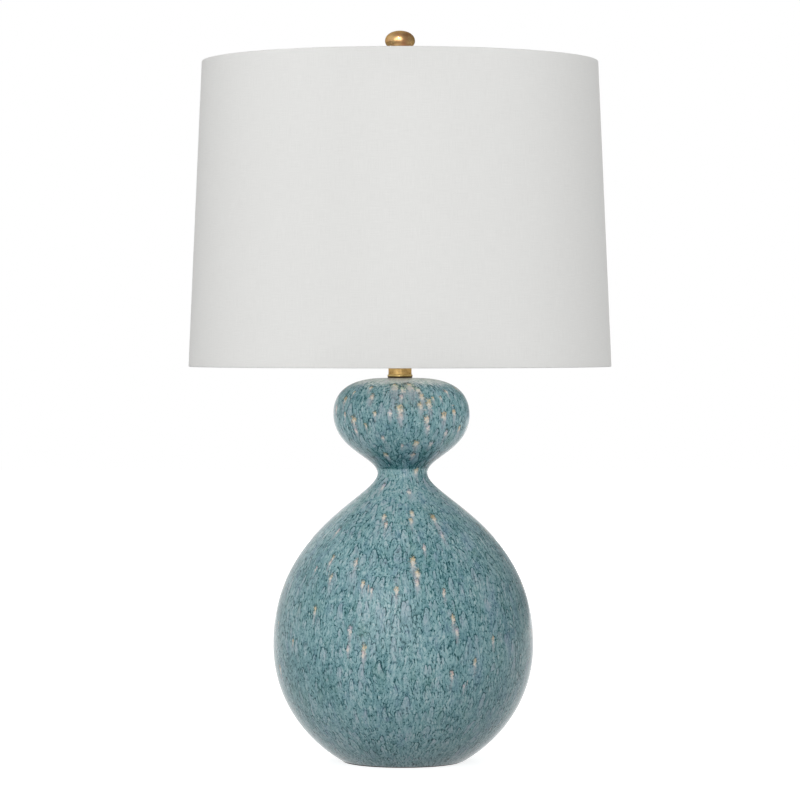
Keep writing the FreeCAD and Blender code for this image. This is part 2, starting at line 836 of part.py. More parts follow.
def make_shade_linen():
    """Linen over the backing, rolled round both ring wires, tucked up inside and slit at each arm."""
    roll = ring_depth() + shade_ring_radius + shade_ring_play + linen_thickness
    whole = lathe((shade_radius(shade_bottom, rim_rounding), shade_bottom),
                  (shade_radius(shade_bottom + rim_rounding), shade_bottom + rim_rounding),
                  (shade_radius(shade_top - rim_rounding), shade_top - rim_rounding),
                  (shade_radius(shade_top, rim_rounding), shade_top),
                  (shade_radius(shade_top, roll), shade_top),
                  (shade_radius(shade_bottom, roll), shade_bottom))
    pocket = shade_band(shade_bottom + linen_thickness, shade_top - linen_thickness, linen_thickness,
                        roll - linen_thickness)
    window = shade_band(shade_bottom + linen_tuck, shade_top - linen_tuck, roll / 2, roll + overshoot)
    linen = whole.cut(pocket).cut(window)
    ring_centre = shade_radius(ring_level(1), ring_depth())
    slit = rod_between(FreeCAD.Vector(ring_centre, 0, ring_level(1)),
                       FreeCAD.Vector(ring_centre - arm_level_length / 2, 0, ring_level(1)),
                       arm_radius + arm_slit_gap)
    for angle in arm_angles.values():
        linen = linen.cut(turned(slit, angle))
    return linen


def make_spider_hub():
    return tube(hub_radius, stud_radius + hub_clearance, harp_seat, hub_thickness)


def make_spider_arm(angle):
    """Wire from the top ring, level at first, then down to the hub."""
    ring_centre = shade_radius(ring_level(1), ring_depth())
    hub_level = harp_seat + hub_thickness / 2
    corners = [FreeCAD.Vector(ring_centre, 0, ring_level(1)),
               FreeCAD.Vector(ring_centre - arm_level_length, 0, ring_level(1)),
               FreeCAD.Vector(hub_radius + arm_inner_length, 0, hub_level),
               FreeCAD.Vector(hub_radius - overshoot, 0, hub_level)]
    arm = bent_wire(corners, [arm_bend_radius, arm_bend_radius], arm_radius)
    hub = cylinder(hub_radius, harp_seat - overshoot, hub_thickness + 2 * overshoot)
    arm = arm.cut(make_shade_ring(1)).cut(hub)
    inner_solid = min(arm.Solids, key=lambda solid: solid.CenterOfMass.x)
    return turned(inner_solid, angle)


# Finial


def make_finial_insert():
    return tube(insert_radius, stud_radius + insert_clearance, hub_top + insert_start, insert_length)


def make_finial_collar():
    """Turned collar: flange on the hub, waisted stem and a cup that cradles the egg."""
    flange_top = hub_top + collar_flange_thickness
    cup_bottom = hub_top + collar_height - collar_cup_height
    cup_top = hub_top + collar_height + collar_cup_rim
    stem_top = cup_bottom - collar_flare_height
    stem = ((collar_waist_radius, flange_top + collar_foot_handle),
            (collar_waist_radius, stem_top - collar_stem_handle), (collar_waist_radius, stem_top))
    flare = ((collar_waist_radius, stem_top + collar_flare_handle),
             (collar_cup_radius, stem_top + collar_flare_handle), (collar_cup_radius, cup_bottom))
    solid = lathe((0, hub_top), (collar_flange_radius, hub_top), (collar_flange_radius, flange_top), stem,
                  flare, (collar_cup_radius, cup_top), (0, cup_top))
    bore_depth = insert_start + insert_length + collar_bore_spare
    bore = cylinder(insert_radius + insert_clearance, hub_top - overshoot, bore_depth + overshoot)
    return solid.cut(bore).cut(make_finial_egg())


def make_finial_egg():
    below = ((egg_radius * egg_roundness_below, egg_centre - egg_below),
             (egg_radius, egg_centre - egg_below * egg_roundness_below), (egg_radius, egg_centre))
    above = ((egg_radius, egg_centre + egg_above * egg_roundness_above),
             (egg_radius * egg_roundness_above, egg_centre + egg_above), (0, egg_centre + egg_above))
    return lathe((0, egg_centre - egg_below), below, above)


def build():
    shapes = {
        "vessel": make_vessel(),
        "felt_pad": make_felt_pad(),
        "cord_bushing": make_cord_bushing(),
        "base_plate": make_base_plate(),
        "bottom_lock_washer": make_lock_washer(),
        "bottom_hex_nut": hex_nut(bottom_nut_bottom, bottom_nut_height),
        "lamp_rod": make_lamp_rod(),
        "neck_gasket": tube(gasket_radius, rod_radius + thread_clearance, vessel_height, gasket_thickness),
        "neck_ring": make_neck_ring(),
        "neck_tube": make_neck_tube(),
        "harp_saddle": make_harp_saddle(),
        "socket_lock_nut": hex_nut(saddle_top, lock_nut_height),
        "socket_cap": make_socket_cap().cut(rod_between(*set_screw_axis(), set_screw_radius)),
        "socket_set_screw": make_set_screw(),
        "socket_shell": make_socket_shell(),
        "socket_liner": make_socket_liner(),
        "socket_body": make_socket_body(),
        "socket_terminal_screws": make_terminal_screws(),
        "socket_screw_shell": make_screw_shell(),
        "socket_centre_contact": make_centre_contact(),
        "switch_spindle": make_switch_spindle(),
        "switch_knob": make_switch_knob(),
        "bulb_tip": make_bulb_tip(),
        "bulb_insulator": make_bulb_insulator(),
        "bulb_screw_cap": make_bulb_cap(),
        "bulb_glass": make_bulb_glass(),
        "bulb_glass_mount": make_bulb_mount(),
        "bulb_filament": make_bulb_filament(),
        "harp_wire": make_harp_wire(),
        "harp_end_left": make_harp_end(-1),
        "harp_end_right": make_harp_end(1),
        "harp_sleeve_left": make_harp_sleeve(-1),
        "harp_sleeve_right": make_harp_sleeve(1),
        "harp_stud": make_harp_stud(),
        "shade_top_ring": make_shade_ring(1),
        "shade_bottom_ring": make_shade_ring(-1),
        "shade_backing": make_shade_backing(),
        "shade_linen": make_shade_linen(),
        "spider_hub": make_spider_hub(),
        "finial_insert": make_finial_insert(),
        "finial_collar": make_finial_collar(),
        "finial_egg": make_finial_egg(),
    }
    for place, angle in arm_angles.items():
        shapes["spider_arm_" + place] = make_spider_arm(angle)
    return shapes


os.makedirs("parts", exist_ok=True)
for name, shape in build().items():
    if not shape.isValid():
        raise RuntimeError(name + " isn't a valid solid")
    shape.exportStep("parts/" + name + ".step")
    print(name, len(shape.Solids), round(shape.Volume / 1000, 3), "cm3")
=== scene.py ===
import bpy
import bmesh
import math
import random
import numpy as np
from mathutils import Matrix, Vector
from mathutils.kdtree import KDTree


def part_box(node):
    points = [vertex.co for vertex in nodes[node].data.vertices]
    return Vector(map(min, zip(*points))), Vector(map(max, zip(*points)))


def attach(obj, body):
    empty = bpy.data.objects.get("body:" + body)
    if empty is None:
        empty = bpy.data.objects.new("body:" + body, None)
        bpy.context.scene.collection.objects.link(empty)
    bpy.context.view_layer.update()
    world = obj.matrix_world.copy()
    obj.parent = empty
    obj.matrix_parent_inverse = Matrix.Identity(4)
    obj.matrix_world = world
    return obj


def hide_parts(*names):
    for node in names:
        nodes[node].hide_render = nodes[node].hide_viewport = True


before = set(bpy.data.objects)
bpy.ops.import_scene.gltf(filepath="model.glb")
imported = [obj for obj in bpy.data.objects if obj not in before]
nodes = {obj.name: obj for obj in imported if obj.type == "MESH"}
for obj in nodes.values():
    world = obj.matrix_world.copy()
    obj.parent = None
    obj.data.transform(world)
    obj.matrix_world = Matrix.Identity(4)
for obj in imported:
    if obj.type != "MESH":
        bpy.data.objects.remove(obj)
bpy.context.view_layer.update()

# Sizes in metres, in the frame of the lamp
mm = 0.001
merge_within = 1e-6
vessel_axis_x = 2.6 * mm
felt_top = 1.2 * mm
wall = 5.5 * mm
recess_radius = 50.0 * mm
recess_top = 18.0 * mm
floor_top = 24.0 * mm
floor_hole_radius = 18.0 * mm
top_hole_radius = 6.0 * mm
vessel_top = 392.4 * mm
seat_radius = 16.0 * mm
seat_steps = 3
bushing_height = 8.2 * mm
bushing_hole_radius = 4.4 * mm
bushing_hole_length = 60.0 * mm
hole_segments = 32
vessel_segments = 288
vessel_crease_deg = 35
# The thrown vessel is not quite straight: its belly stands right of its axis and its top left of it
belly_offset = 0.8 * mm
top_offset = -1.7 * mm
straight_below = 240.0 * mm
# Curves of the vessel in millimetres: start, two handles and end, as (radius, height). The inside
# follows the outside a wall's thickness in, with curves of its own over the floor and under the dome
belly = 133.1
belly_level = 120.4
waist = 25.5
waist_level = 295.0
bulb = 69.7
bulb_level = 355.5
inset = wall / mm
foot_curve = ((63.2, 1.2), (96.84, 20.94), (belly, 60.7), (belly, belly_level))
belly_curve = ((belly, belly_level), (belly, 239.2), (waist, 271.2), (waist, waist_level))
bulb_curve = ((waist, waist_level), (waist, 311.4), (bulb, 318.4), (bulb, bulb_level))
dome_curve = ((bulb, bulb_level), (bulb, 392.0), (28.1, 392.4), (16.0, 392.4))
inner_foot_curve = ((84.5, 24.0), (110.0, 44.0), (belly - inset, 70.0), (belly - inset, belly_level))
inner_belly_curve = [(radius - inset, height) for radius, height in belly_curve]
inner_bulb_curve = [(radius - inset, height) for radius, height in bulb_curve]
inner_dome_curve = ((bulb - inset, bulb_level), (bulb - inset, 386.0),
                    (28.1, 392.4 - inset), (16.0, 392.4 - inset))
# Each curve with the number of points along it
outside_curves = ((foot_curve, 60), (belly_curve, 84), (bulb_curve, 44), (dome_curve, 44))
inside_curves = ((inner_foot_curve, 16), (inner_belly_curve, 24), (inner_bulb_curve, 14),
                 (inner_dome_curve, 14))

shade_bottom = 404.0 * mm
shade_top = 715.1 * mm
shade_bottom_radius = 216.0 * mm
shade_top_radius = 202.2 * mm
shade_segments = 256
side_points = 60
linen_thickness = 0.6 * mm
linen_tuck = 7.0 * mm
tuck_points = 4
rim_depth = 5.35 * mm
rim_corner = 0.8 * mm
rim_corner_points = 5
roll_corner = 1.5 * mm
roll_corner_points = 6
ring_depth = 3.1 * mm
ring_level = shade_top - 2.25 * mm
arm_angles_deg = (90.0, 210.0, 330.0)
arm_slit_radius = 1.7 * mm
arm_slit_length = 12.0 * mm
lap_width = 14.0 * mm
lap_thickness = 0.4 * mm
lap_lift = 0.22 * mm
lap_rounding = lap_thickness / 3
lap_steps = 4
lap_crease_deg = 60

felt_segments = 96
felt_rings = 12
# Rounding of the felt's edge as a share of its thickness, and how much of it the corner's point takes
felt_rounding = 0.35
felt_corner = 0.3

# Cream drops in the glaze: half their width and length, and the stored layers that hold them
drop_half_width = 2.0 * mm
drop_half_length = 3.2 * mm
row_height = 2.6 * mm
drop_layers = ("drops_a", "drops_b", "drops_c", "drops_d")
no_drop = 9.0
# How far a mark reaches from its drop's middle, in its half widths and half lengths
mark_aside = 1.5
mark_up = 1.6
mark_down = 4.2
outside_within = 0.5 * mm
# Where the larger drops are seen from the front: across and down the picture, size, and kind from
# pale green (-0.3) and orange (0) over cream (0.35) and peach (0.7) to pinkish white (1)
picture_width = 800
waist_row = 480
upper_drop_growth = 1.2
belly_drop_stretch = 1.45
drops_seen = (
    (395, 387.5, 1.7, -0.3), (410, 387, 2.0, -0.3), (418, 390, 1.2, -0.3), (403, 390, 1.3, -0.3),
    (371, 388, 0.8, 0.2), (354, 393, 0.6, 0.3), (372, 397, 1.0, 0.6), (345, 400, 1.0, 0.1),
    (400, 410, 1.5, 0.35), (401, 417, 0.9, 0.6), (420.5, 406, 1.1, 0.35), (429, 404, 1.4, 0.35),
    (422, 397, 1.1, 0.4), (433, 398.5, 0.6, 0.3), (441, 398, 0.6, 0.5), (446.5, 392, 0.8, 0.7),
    (444, 416, 1.2, 0.1), (454, 413, 1.0, 0.1), (427, 414, 1.2, 0.45), (427, 420, 1.2, 0.5),
    (428, 428, 0.8, 0.9), (459, 429, 0.9, 0.15), (354, 421, 1.3, 0.15), (345, 415, 0.7, 0.6),
    (356, 431, 0.8, 0.9), (375, 414, 0.7, 0.3), (366, 426, 0.7, 0.35), (383, 438, 0.6, 0.7),
    (416, 444, 1.2, 0.15), (402, 446, 0.7, 0.8), (431, 444, 0.9, 0.95), (386, 455, 1.0, 0.1),
    (413, 455, 0.9, 0.7), (416, 471, 1.0, 0.3), (394, 385, 0.7, 0.3), (409, 385, 0.9, 0.3),
    (446, 433, 0.9, 1.0), (401, 397, 0.8, 0.9), (390, 413, 0.9, 1.0), (384, 517.5, 1.0, 0.5),
    (386, 525, 0.9, 0.7), (412, 514, 1.0, 0.35), (411, 521, 0.9, 0.2), (434, 519, 1.3, 0.05),
    (333, 558, 0.8, 0.15), (356, 563, 1.1, 0.6), (413, 562, 1.4, 0.3), (417.5, 574, 1.2, 0.35),
    (417, 583, 0.9, 0.85), (424, 548, 0.9, 0.85), (396.5, 591, 1.1, 0.45), (363, 584.5, 0.9, 0.4),
    (371.5, 591, 0.8, 0.9), (444, 593, 0.9, 0.65), (453, 620, 1.1, 0.2), (457, 632, 1.0, 1.0),
    (442, 535, 1.0, 1.0), (409, 492, 1.0, 1.0), (383, 487, 1.0, 1.0), (338, 531, 1.0, 0.95),
    (315, 611, 1.0, 0.3), (331, 578, 0.9, 0.4), (316, 569, 0.7, 0.85), (330, 563, 0.7, 0.8),
    (293, 642, 0.7, 0.1), (364, 650, 1.2, 0.3), (350, 631, 1.1, 1.0), (348, 649, 0.8, 0.95),
    (493, 640, 0.9, 0.15), (475, 663, 1.0, 0.25), (452, 675.5, 1.0, 0.75), (464, 687, 0.6, 0.95),
    (363, 655, 0.8, 0.9),
)
# Drops strewn over the sides and the back: how many tries, how far to each side the front reaches that
# is left out, in radians, the share on the upper bulb, and where along the outline, how far apart, how
# large and of what kind
dice_seed = 5
strewn_tries = 400
front_turn = 1.25
upper_share = 0.45
upper_way = (0.72, 0.97)
lower_way = (0.18, 0.60)
upper_spacing = 12.0 * mm
lower_spacing = 21.0 * mm
strewn_sizes = (0.6, 0.8, 0.9, 1.0, 1.2)
strewn_kinds = (0.0, 0.15, 0.35, 0.5, 0.7, 0.85, 1.0)


def srgb(red, green, blue):
    """A colour given as it looks on a screen, 0 to 255, as the renderer's own numbers."""
    return tuple((c / 255 / 12.92) if c <= 10 else ((c / 255 + 0.055) / 1.055) ** 2.4
                 for c in (red, green, blue))


# Camera

bpy.context.scene.view_settings.view_transform = "Standard"

camera_distance = 3.65
camera_height = 0.4338
aim_height = 0.3698
frame_width = 0.8184
film_width = 36.0
farthest_seen = 100.0

camera = bpy.data.objects.new("camera", bpy.data.cameras.new("camera"))
bpy.context.scene.collection.objects.link(camera)
camera.data.sensor_width = film_width
camera.data.lens = film_width * camera_distance / frame_width
camera.location = (0.0, -camera_distance, camera_height)
aim = Vector((0.0, 0.0, aim_height)) - Vector(camera.location)
camera.rotation_euler = aim.to_track_quat("-Z", "Y").to_euler()
camera.data.clip_end = farthest_seen
bpy.context.scene.camera = camera


class Finish:
    """A material, or the world, with short ways to add to its nodes."""

    def __init__(self, name, kind="materials"):
        self.owner = getattr(bpy.data, kind).new(name)
        self.owner.use_nodes = True
        self.tree = self.owner.node_tree
        self.tree.nodes.clear()

    def feed(self, socket, value):
        if isinstance(value, bpy.types.NodeSocket):
            self.tree.links.new(value, socket)
        elif socket.type == "RGBA":
            socket.default_value = (*value[:3], 1.0)
        else:
            socket.default_value = value

    def node(self, kind, inputs=(), **settings):
        made = self.tree.nodes.new("ShaderNode" + kind)
        for key, value in settings.items():
            setattr(made, key, value)
        for key, value in dict(inputs).items():
            self.feed(made.inputs[key], value)
        return made

    def math(self, operation, *values, clamp=False):
        return self.node("Math", enumerate(values), operation=operation, use_clamp=clamp).outputs[0]

    def times(self, *values):
        """The product of the values."""
        product = values[0]
        for value in values[1:]:
            product = self.math("MULTIPLY", product, value)
        return product

    def plus(self, first, second):
        return self.math("ADD", first, second)

    def on_top(self, base, value, weight):
        """The base with the weighted value added to it."""
        return self.math("MULTIPLY_ADD", value, weight, base)

    def vector(self, operation, *values):
        made = self.node("VectorMath", enumerate(values), operation=operation)
        return made.outputs["Value" if operation in ("DOT_PRODUCT", "LENGTH") else "Vector"]

    def stretched(self, place, stretch):
        return self.vector("MULTIPLY", place, stretch)

    def split(self, vector):
        return self.node("SeparateXYZ", {"Vector": vector}).outputs

    def join(self, x, y, z):
        return self.node("CombineXYZ", {"X": x, "Y": y, "Z": z}).outputs[0]

    def object_place(self):
        return self.node("TexCoord").outputs["Object"]

    def attribute(self, name, output="Vector"):
        return self.node("Attribute", attribute_name=name).outputs[output]

    def noise(self, place, scale=1.0, detail=2.0, roughness=0.5, distortion=0.0):
        made = self.node("TexNoise", {"Vector": place, "Scale": scale, "Detail": detail,
                                      "Roughness": roughness, "Distortion": distortion})
        return made.outputs["Fac"]

    def swing(self, place, **settings):
        """Noise to both sides of nought."""
        return self.math("SUBTRACT", self.noise(place, **settings), 0.5)

    def mix(self, share, first, second):
        """The first colour, with a share of the second."""
        return self.node("Mix", {0: share, 6: first, 7: second}, data_type="RGBA").outputs[2]

    def blend(self, share, first, second):
        """The first value, with a share of the second."""
        return self.node("Mix", {0: share, 2: first, 3: second}, data_type="FLOAT").outputs[0]

    def between(self, value, low, high, start=0.0, end=1.0, smooth=True):
        """The value mapped from low..high to start..end, held at both ends."""
        return self.node("MapRange", {"Value": value, "From Min": low, "From Max": high,
                                      "To Min": start, "To Max": end},
                         interpolation_type="SMOOTHSTEP" if smooth else "LINEAR").outputs[0]

    def ramp(self, value, stops):
        made = self.node("ValToRGB", {"Fac": value})
        elements = made.color_ramp.elements
        while len(elements) < len(stops):
            elements.new(1.0)
        for element, (position, colour) in zip(elements, stops):
            element.position = position
            element.color = (*colour, 1.0)
        return made.outputs["Color"]

    def bump(self, height, distance, strength):
        made = self.node("Bump", {"Height": height, "Distance": distance, "Strength": strength})
        return made.outputs["Normal"]

    def surface(self, **inputs):
        """Closes the material with its shader. Underscores in a name stand for spaces."""
        shader = self.node("BsdfPrincipled", {k.replace("_", " "): v for k, v in inputs.items()})
        self.node("OutputMaterial", {"Surface": shader.outputs[0]})
        return self.owner


# Glaze

pattern_unit = 1000.0
drum_radius = 64.0
drum_step = math.sqrt(2)
drum_jitter = 1.6
jitter_scale = 70.0
drift_scale = 34.0
drift_reach = 11.0
ruffle_reach = 2.4
cloud_scale = 24.0
# How closely each noise lies, times per millimetre: round the vessel in both ways, and up it
ruffle_grain = (0.26, 0.26, 0.12)
streak_grain = (0.42, 0.42, 0.12)
vein_grain = (0.30, 0.30, 0.13)
gap_grain = (0.22, 0.22, 0.16)
fleck_grain = (0.85, 0.85, 0.42)
speck_grain = (0.70, 0.70, 0.34)
hue_grain = (0.07, 0.07, 0.035)
# Runs of glaze: width and height in millimetres, share of the places that have one, and pattern number
small_runs = (3.8, 9.0, 0.6, 3.1)
middle_runs = (6.0, 16.0, 0.5, 7.7)
large_runs = (11.0, 32.0, 0.55, 1.9)
# Arch of a run, and where its bright body and its dark rim start and end across the arch and upwards
arch_depth = 6.0
arch_power = 2.4
arch_top = 0.2
body_edge = (0.3, -0.4)
body_rise = (-0.75, 0.2)
rim_inside = (-0.35, 0.1)
rim_outside = (1.1, 0.45)
rim_rise = (-0.55, 0.2)
weakest_run = 0.45
# Where noise turns into a mark, from its first trace to its full strength: veins and the gaps in them,
# what breaks the dark rims of the runs, specks and flecks, and patches of other hues
vein_width = (0.032, 0.006)
vein_gaps = (0.46, 0.58)
rim_gaps = (0.66, 0.40, 0.15, 1.0)
rim_flecks = (0.60, 0.44, 0.35, 1.5)
large_rim_flecks = (0.60, 0.44, 0.4, 1.35)
dark_specks_from = (0.40, 0.27)
dark_flecks_from = (0.43, 0.30)
light_flecks_from = (0.58, 0.70)
blue_hues = (0.52, 0.72, 0.0, 0.30)
green_hues = (0.46, 0.28, 0.0, 0.30)
# Where the painted reflection on the crown shows pale specks and lilac patches
crown_sheen_specks = (0.30, 0.55)
crown_sheen_hues = (0.48, 0.64, 0.0, 0.4)
# Heights in metres at which the glaze changes: the line round the waist, the end of the dark band above
# it (partly the glaze, partly painted shade under the upper bulb), the start of the painted light on the
# waist below it, and the painted reflection on the crown with its strength
line_heights = (0.2992, 0.3010)
band_heights = (0.330, 0.308)
painted_waist_light_heights = (0.240, 0.280)
crown_sheen_heights = (0.3835, 0.3905, 0.0, 0.95)
crown_sheen_wander = 0.016
# The glaze from thin and dark to thick and pale, and the colours of its drops by kind
glaze_colours = ((0.0, srgb(24, 74, 82)), (0.25, srgb(72, 119, 125)), (0.5, srgb(116, 160, 167)),
                 (0.75, srgb(152, 188, 193)), (1.0, srgb(184, 206, 208)))
drop_colours = ((0.0, srgb(220, 178, 112)), (0.35, srgb(230, 204, 154)),
                (0.7, srgb(228, 190, 172)), (1.0, srgb(206, 194, 210)))
base_light = 0.612
streak_light = 1.42
run_tint = srgb(160, 175, 190)
blue_tint = srgb(126, 152, 182)
green_tint = srgb(92, 138, 128)
# Painted reflection of the bright studio on the crown: pale green specks, near white and lilac
painted_sheen_speck = srgb(170, 202, 198)
painted_sheen_pale = srgb(236, 244, 240)
painted_sheen_lilac = srgb(228, 226, 240)
trail_colour = srgb(184, 190, 198)
brow_colour = srgb(62, 74, 68)
green_drop = srgb(196, 214, 184)
drop_middle = srgb(238, 230, 216)
# How strongly the tints of the runs and the parts of a drop cover the glaze
tint_cover = 0.6
trail_cover = 0.6
brow_cover = 0.75
drop_cover = 0.92
# A drop, in its half widths and half lengths: its ragged edge, its head, the brow over it and its trail
wobble_scale = 480.0
wobble_reach = 3.0
ragged_stretch = (1.0, 1.0, 0.7)
ragged_scale = 760.0
ragged_reach = 1.5
last_kind = 1.2
core_below = 0.35
core_edge = (0.75, 0.15)
green_kinds = (-0.05, -0.2)
head_spread = (-1.0, 1.0, 1.5, 0.8)
head_edge = (1.35, 0.15)
thin_spots = (0.16, -0.12, 0.55, 1.0)
brow_inside = (0.7, 1.25)
brow_outside = (2.6, 1.5)
brow_rise = (-0.7, 0.7)
brow_gaps = (-0.14, 0.06)
trail_spread = (-5.0, -0.5, 0.5, 1.3)
trail_edge = (1.2, 0.2)
trail_rise = (-4.2, -1.0)
trail_start = (0.6, -0.6)


def unrolled_place(finish):
    """Place on the vessel as if unrolled, in millimetres, its direction sideways, and its centred place.

    Round the vessel it runs on drums of stepped radius, so the pattern keeps its size from foot to waist.
    Up the vessel it is the way along the outline, so that runs of glaze follow the surface."""
    centred = finish.vector("SUBTRACT", finish.object_place(), (vessel_axis_x, 0.0, 0.0))
    flat = finish.stretched(centred, (pattern_unit, pattern_unit, 0.0))
    radius = finish.vector("LENGTH", flat)
    x, y, _ = finish.split(finish.vector("NORMALIZE", flat))
    steps = finish.math("LOGARITHM", finish.math("DIVIDE", radius, drum_radius), drum_step)
    jitter = finish.noise(centred, scale=jitter_scale, detail=1.0)
    jitter = finish.on_top(-drum_jitter / 2, jitter, drum_jitter)
    steps = finish.math("ROUND", finish.plus(steps, jitter))
    drum = finish.times(finish.math("POWER", drum_step, steps), drum_radius)
    arc = finish.times(finish.attribute("arc", "Fac"), pattern_unit)
    sideways = finish.join(finish.times(y, -1.0), x, 0.0)
    drift = finish.times(finish.swing(centred, scale=drift_scale), drift_reach)
    place = finish.join(finish.times(x, drum), finish.times(y, drum), arc)
    ruffle = finish.times(finish.swing(finish.stretched(place, ruffle_grain)), ruffle_reach)
    shift = finish.plus(drift, ruffle)
    place = finish.vector("MULTIPLY_ADD", sideways, finish.join(shift, shift, 0.0), place)
    return centred, place, sideways


def glaze_runs(finish, place, sideways, width, height, share, number):
    """Runs of glaze like scales: a dark arch with a bright head under it that fades downward.

    Returns the light of the runs, their dark arches and a tint of their own for each run."""
    spot = finish.vector("MULTIPLY_ADD", place, (1 / width, 1 / width, 1 / height), (number,) * 3)
    cell = finish.node("TexVoronoi", {"Vector": spot, "Scale": 1.0, "Randomness": 1.0},
                       voronoi_dimensions="3D", feature="F1")
    local = finish.vector("SUBTRACT", spot, cell.outputs["Position"])
    across = finish.math("ABSOLUTE", finish.vector("DOT_PRODUCT", local, sideways))
    up = finish.split(local)[2]
    chance, amount, tint = finish.split(cell.outputs["Color"])
    slope = finish.times(finish.math("POWER", across, arch_power - 1), arch_depth)
    arch = finish.on_top(finish.math("SUBTRACT", up, arch_top), slope, across)
    slope = finish.times(slope, arch_power / width)
    steepness = finish.math("SQRT", finish.on_top(height ** -2, slope, slope))
    edge = finish.math("DIVIDE", arch, steepness)
    strength = finish.times(finish.math("LESS_THAN", chance, share),
                            finish.between(amount, 0.0, 1.0, weakest_run, 1.0, smooth=False))
    body = finish.times(finish.between(edge, *body_edge), finish.between(up, *body_rise), strength)
    rim = finish.times(finish.between(edge, *rim_inside), finish.between(edge, *rim_outside),
                       finish.between(up, *rim_rise), strength)
    return body, rim, finish.times(body, tint)


def cream_drops(finish, layer):
    """Cream drops, with a dark brow above and a pale trail below, from the marks stored on the vessel."""
    across, up, kind = finish.split(finish.attribute(layer))
    place = finish.object_place()
    wobble = finish.swing(place, scale=wobble_scale)
    ragged = finish.swing(finish.stretched(place, ragged_stretch), scale=ragged_scale)
    across = finish.on_top(across, wobble, wobble_reach)
    up = finish.on_top(up, ragged, ragged_reach)
    side = finish.times(across, across)
    head = finish.on_top(finish.times(up, up), side, finish.between(up, *head_spread))
    lower = finish.plus(up, core_below)
    core = finish.plus(side, finish.times(lower, lower))
    here = finish.math("LESS_THAN", kind, last_kind)
    drop = finish.times(here, finish.between(ragged, *thin_spots), finish.between(head, *head_edge))
    brow = finish.times(finish.between(head, *brow_inside), finish.between(head, *brow_outside), here,
                        finish.between(up, *brow_rise), finish.between(wobble, *brow_gaps))
    width = finish.between(up, *trail_spread, smooth=False)
    beside = finish.math("DIVIDE", finish.math("ABSOLUTE", across), width)
    trail = finish.times(finish.between(beside, *trail_edge), here, finish.between(up, *trail_rise),
                         finish.between(up, *trail_start))
    return drop, core, brow, trail, kind


def drops_over(finish, colour):
    """The colour of the glaze with the trails, brows and heads of its cream drops over it."""
    for layer in drop_layers:
        drop, core, brow, trail, kind = cream_drops(finish, layer)
        colour = finish.mix(finish.times(trail, trail_cover), colour, trail_colour)
        colour = finish.mix(finish.times(brow, brow_cover), colour, brow_colour)
        cream = finish.ramp(kind, drop_colours)
        cream = finish.mix(finish.between(kind, *green_kinds), cream, green_drop)
        pale = finish.mix(finish.between(core, *core_edge), cream, drop_middle)
        colour = finish.mix(finish.times(drop, drop_cover), colour, pale)
    return colour


def glaze_finish():
    finish = Finish("teal_reactive_glaze")
    centred, place, sideways = unrolled_place(finish)
    small, small_rim, _ = glaze_runs(finish, place, sideways, *small_runs)
    middle, middle_rim, middle_tint = glaze_runs(finish, place, sideways, *middle_runs)
    large, large_rim, large_tint = glaze_runs(finish, place, sideways, *large_runs)
    streak = finish.swing(finish.stretched(place, streak_grain), detail=3.0, roughness=0.68)
    veins = finish.math("ABSOLUTE", finish.swing(finish.stretched(place, vein_grain), roughness=0.6))
    gaps = finish.noise(finish.stretched(place, gap_grain), detail=1.0)
    veins = finish.times(finish.between(veins, *vein_width), finish.between(gaps, *vein_gaps))
    flecks = finish.noise(finish.stretched(place, fleck_grain), roughness=0.6)
    broken = finish.times(finish.between(gaps, *rim_gaps), finish.between(flecks, *rim_flecks))
    small_rim = finish.times(small_rim, broken)
    middle_rim = finish.times(middle_rim, broken)
    large_rim = finish.times(large_rim, finish.between(flecks, *large_rim_flecks))
    specks = finish.noise(finish.stretched(place, speck_grain), detail=1.0)
    clouds = finish.swing(centred, scale=cloud_scale)
    dark_specks = finish.between(specks, *dark_specks_from)
    dark_flecks = finish.between(flecks, *dark_flecks_from)
    light_flecks = finish.between(flecks, *light_flecks_from)
    height = finish.split(centred)[2]
    # A dark band above the line: partly the glaze, partly painted shade under the upper bulb
    band = finish.times(finish.between(height, *line_heights), finish.between(height, *band_heights))
    # Painted light on the waist below the line
    glow = finish.times(finish.between(height, *painted_waist_light_heights), finish.between(height, *line_heights[::-1]))
    light = finish.on_top(base_light, streak, streak_light)
    for part, weight in ((small, 0.18), (middle, 0.24), (large, 0.22), (small_rim, -0.40),
                         (middle_rim, -0.60), (large_rim, -0.60), (clouds, 0.5), (veins, -0.42),
                         (dark_specks, -0.50), (dark_flecks, -0.45), (light_flecks, 0.10),
                         (band, -0.26), (glow, 0.13)):
        light = finish.on_top(light, part, weight)
    colour = finish.ramp(light, glaze_colours)
    tint = finish.times(finish.math("ADD", middle_tint, large_tint, clamp=True), tint_cover)
    colour = finish.mix(tint, colour, run_tint)
    hues = finish.noise(finish.stretched(place, hue_grain), detail=3.0, roughness=0.6)
    colour = finish.mix(finish.between(hues, *blue_hues), colour, blue_tint)
    colour = finish.mix(finish.between(hues, *green_hues), colour, green_tint)
    # Painted reflection of the bright studio over the crown of the dome, near white with pale specks and
    # lilac patches
    crown = finish.on_top(height, streak, crown_sheen_wander)
    painted_sheen = finish.mix(finish.between(specks, *crown_sheen_specks), painted_sheen_speck, painted_sheen_pale)
    painted_sheen = finish.mix(finish.between(hues, *crown_sheen_hues), painted_sheen, painted_sheen_lilac)
    colour = finish.mix(finish.between(crown, *crown_sheen_heights), colour, painted_sheen)
    colour = drops_over(finish, colour)
    normal = finish.bump(finish.on_top(large, middle, weight=0.5), distance=0.0003, strength=0.3)
    return finish.surface(Base_Color=colour, Roughness=0.16, Normal=normal, IOR=1.5, Specular_IOR_Level=0.2)


# Cloth

thread_pitch = 0.0009
slub_across = 2200.0
slub_along = 60.0
weft_shift = 4.0


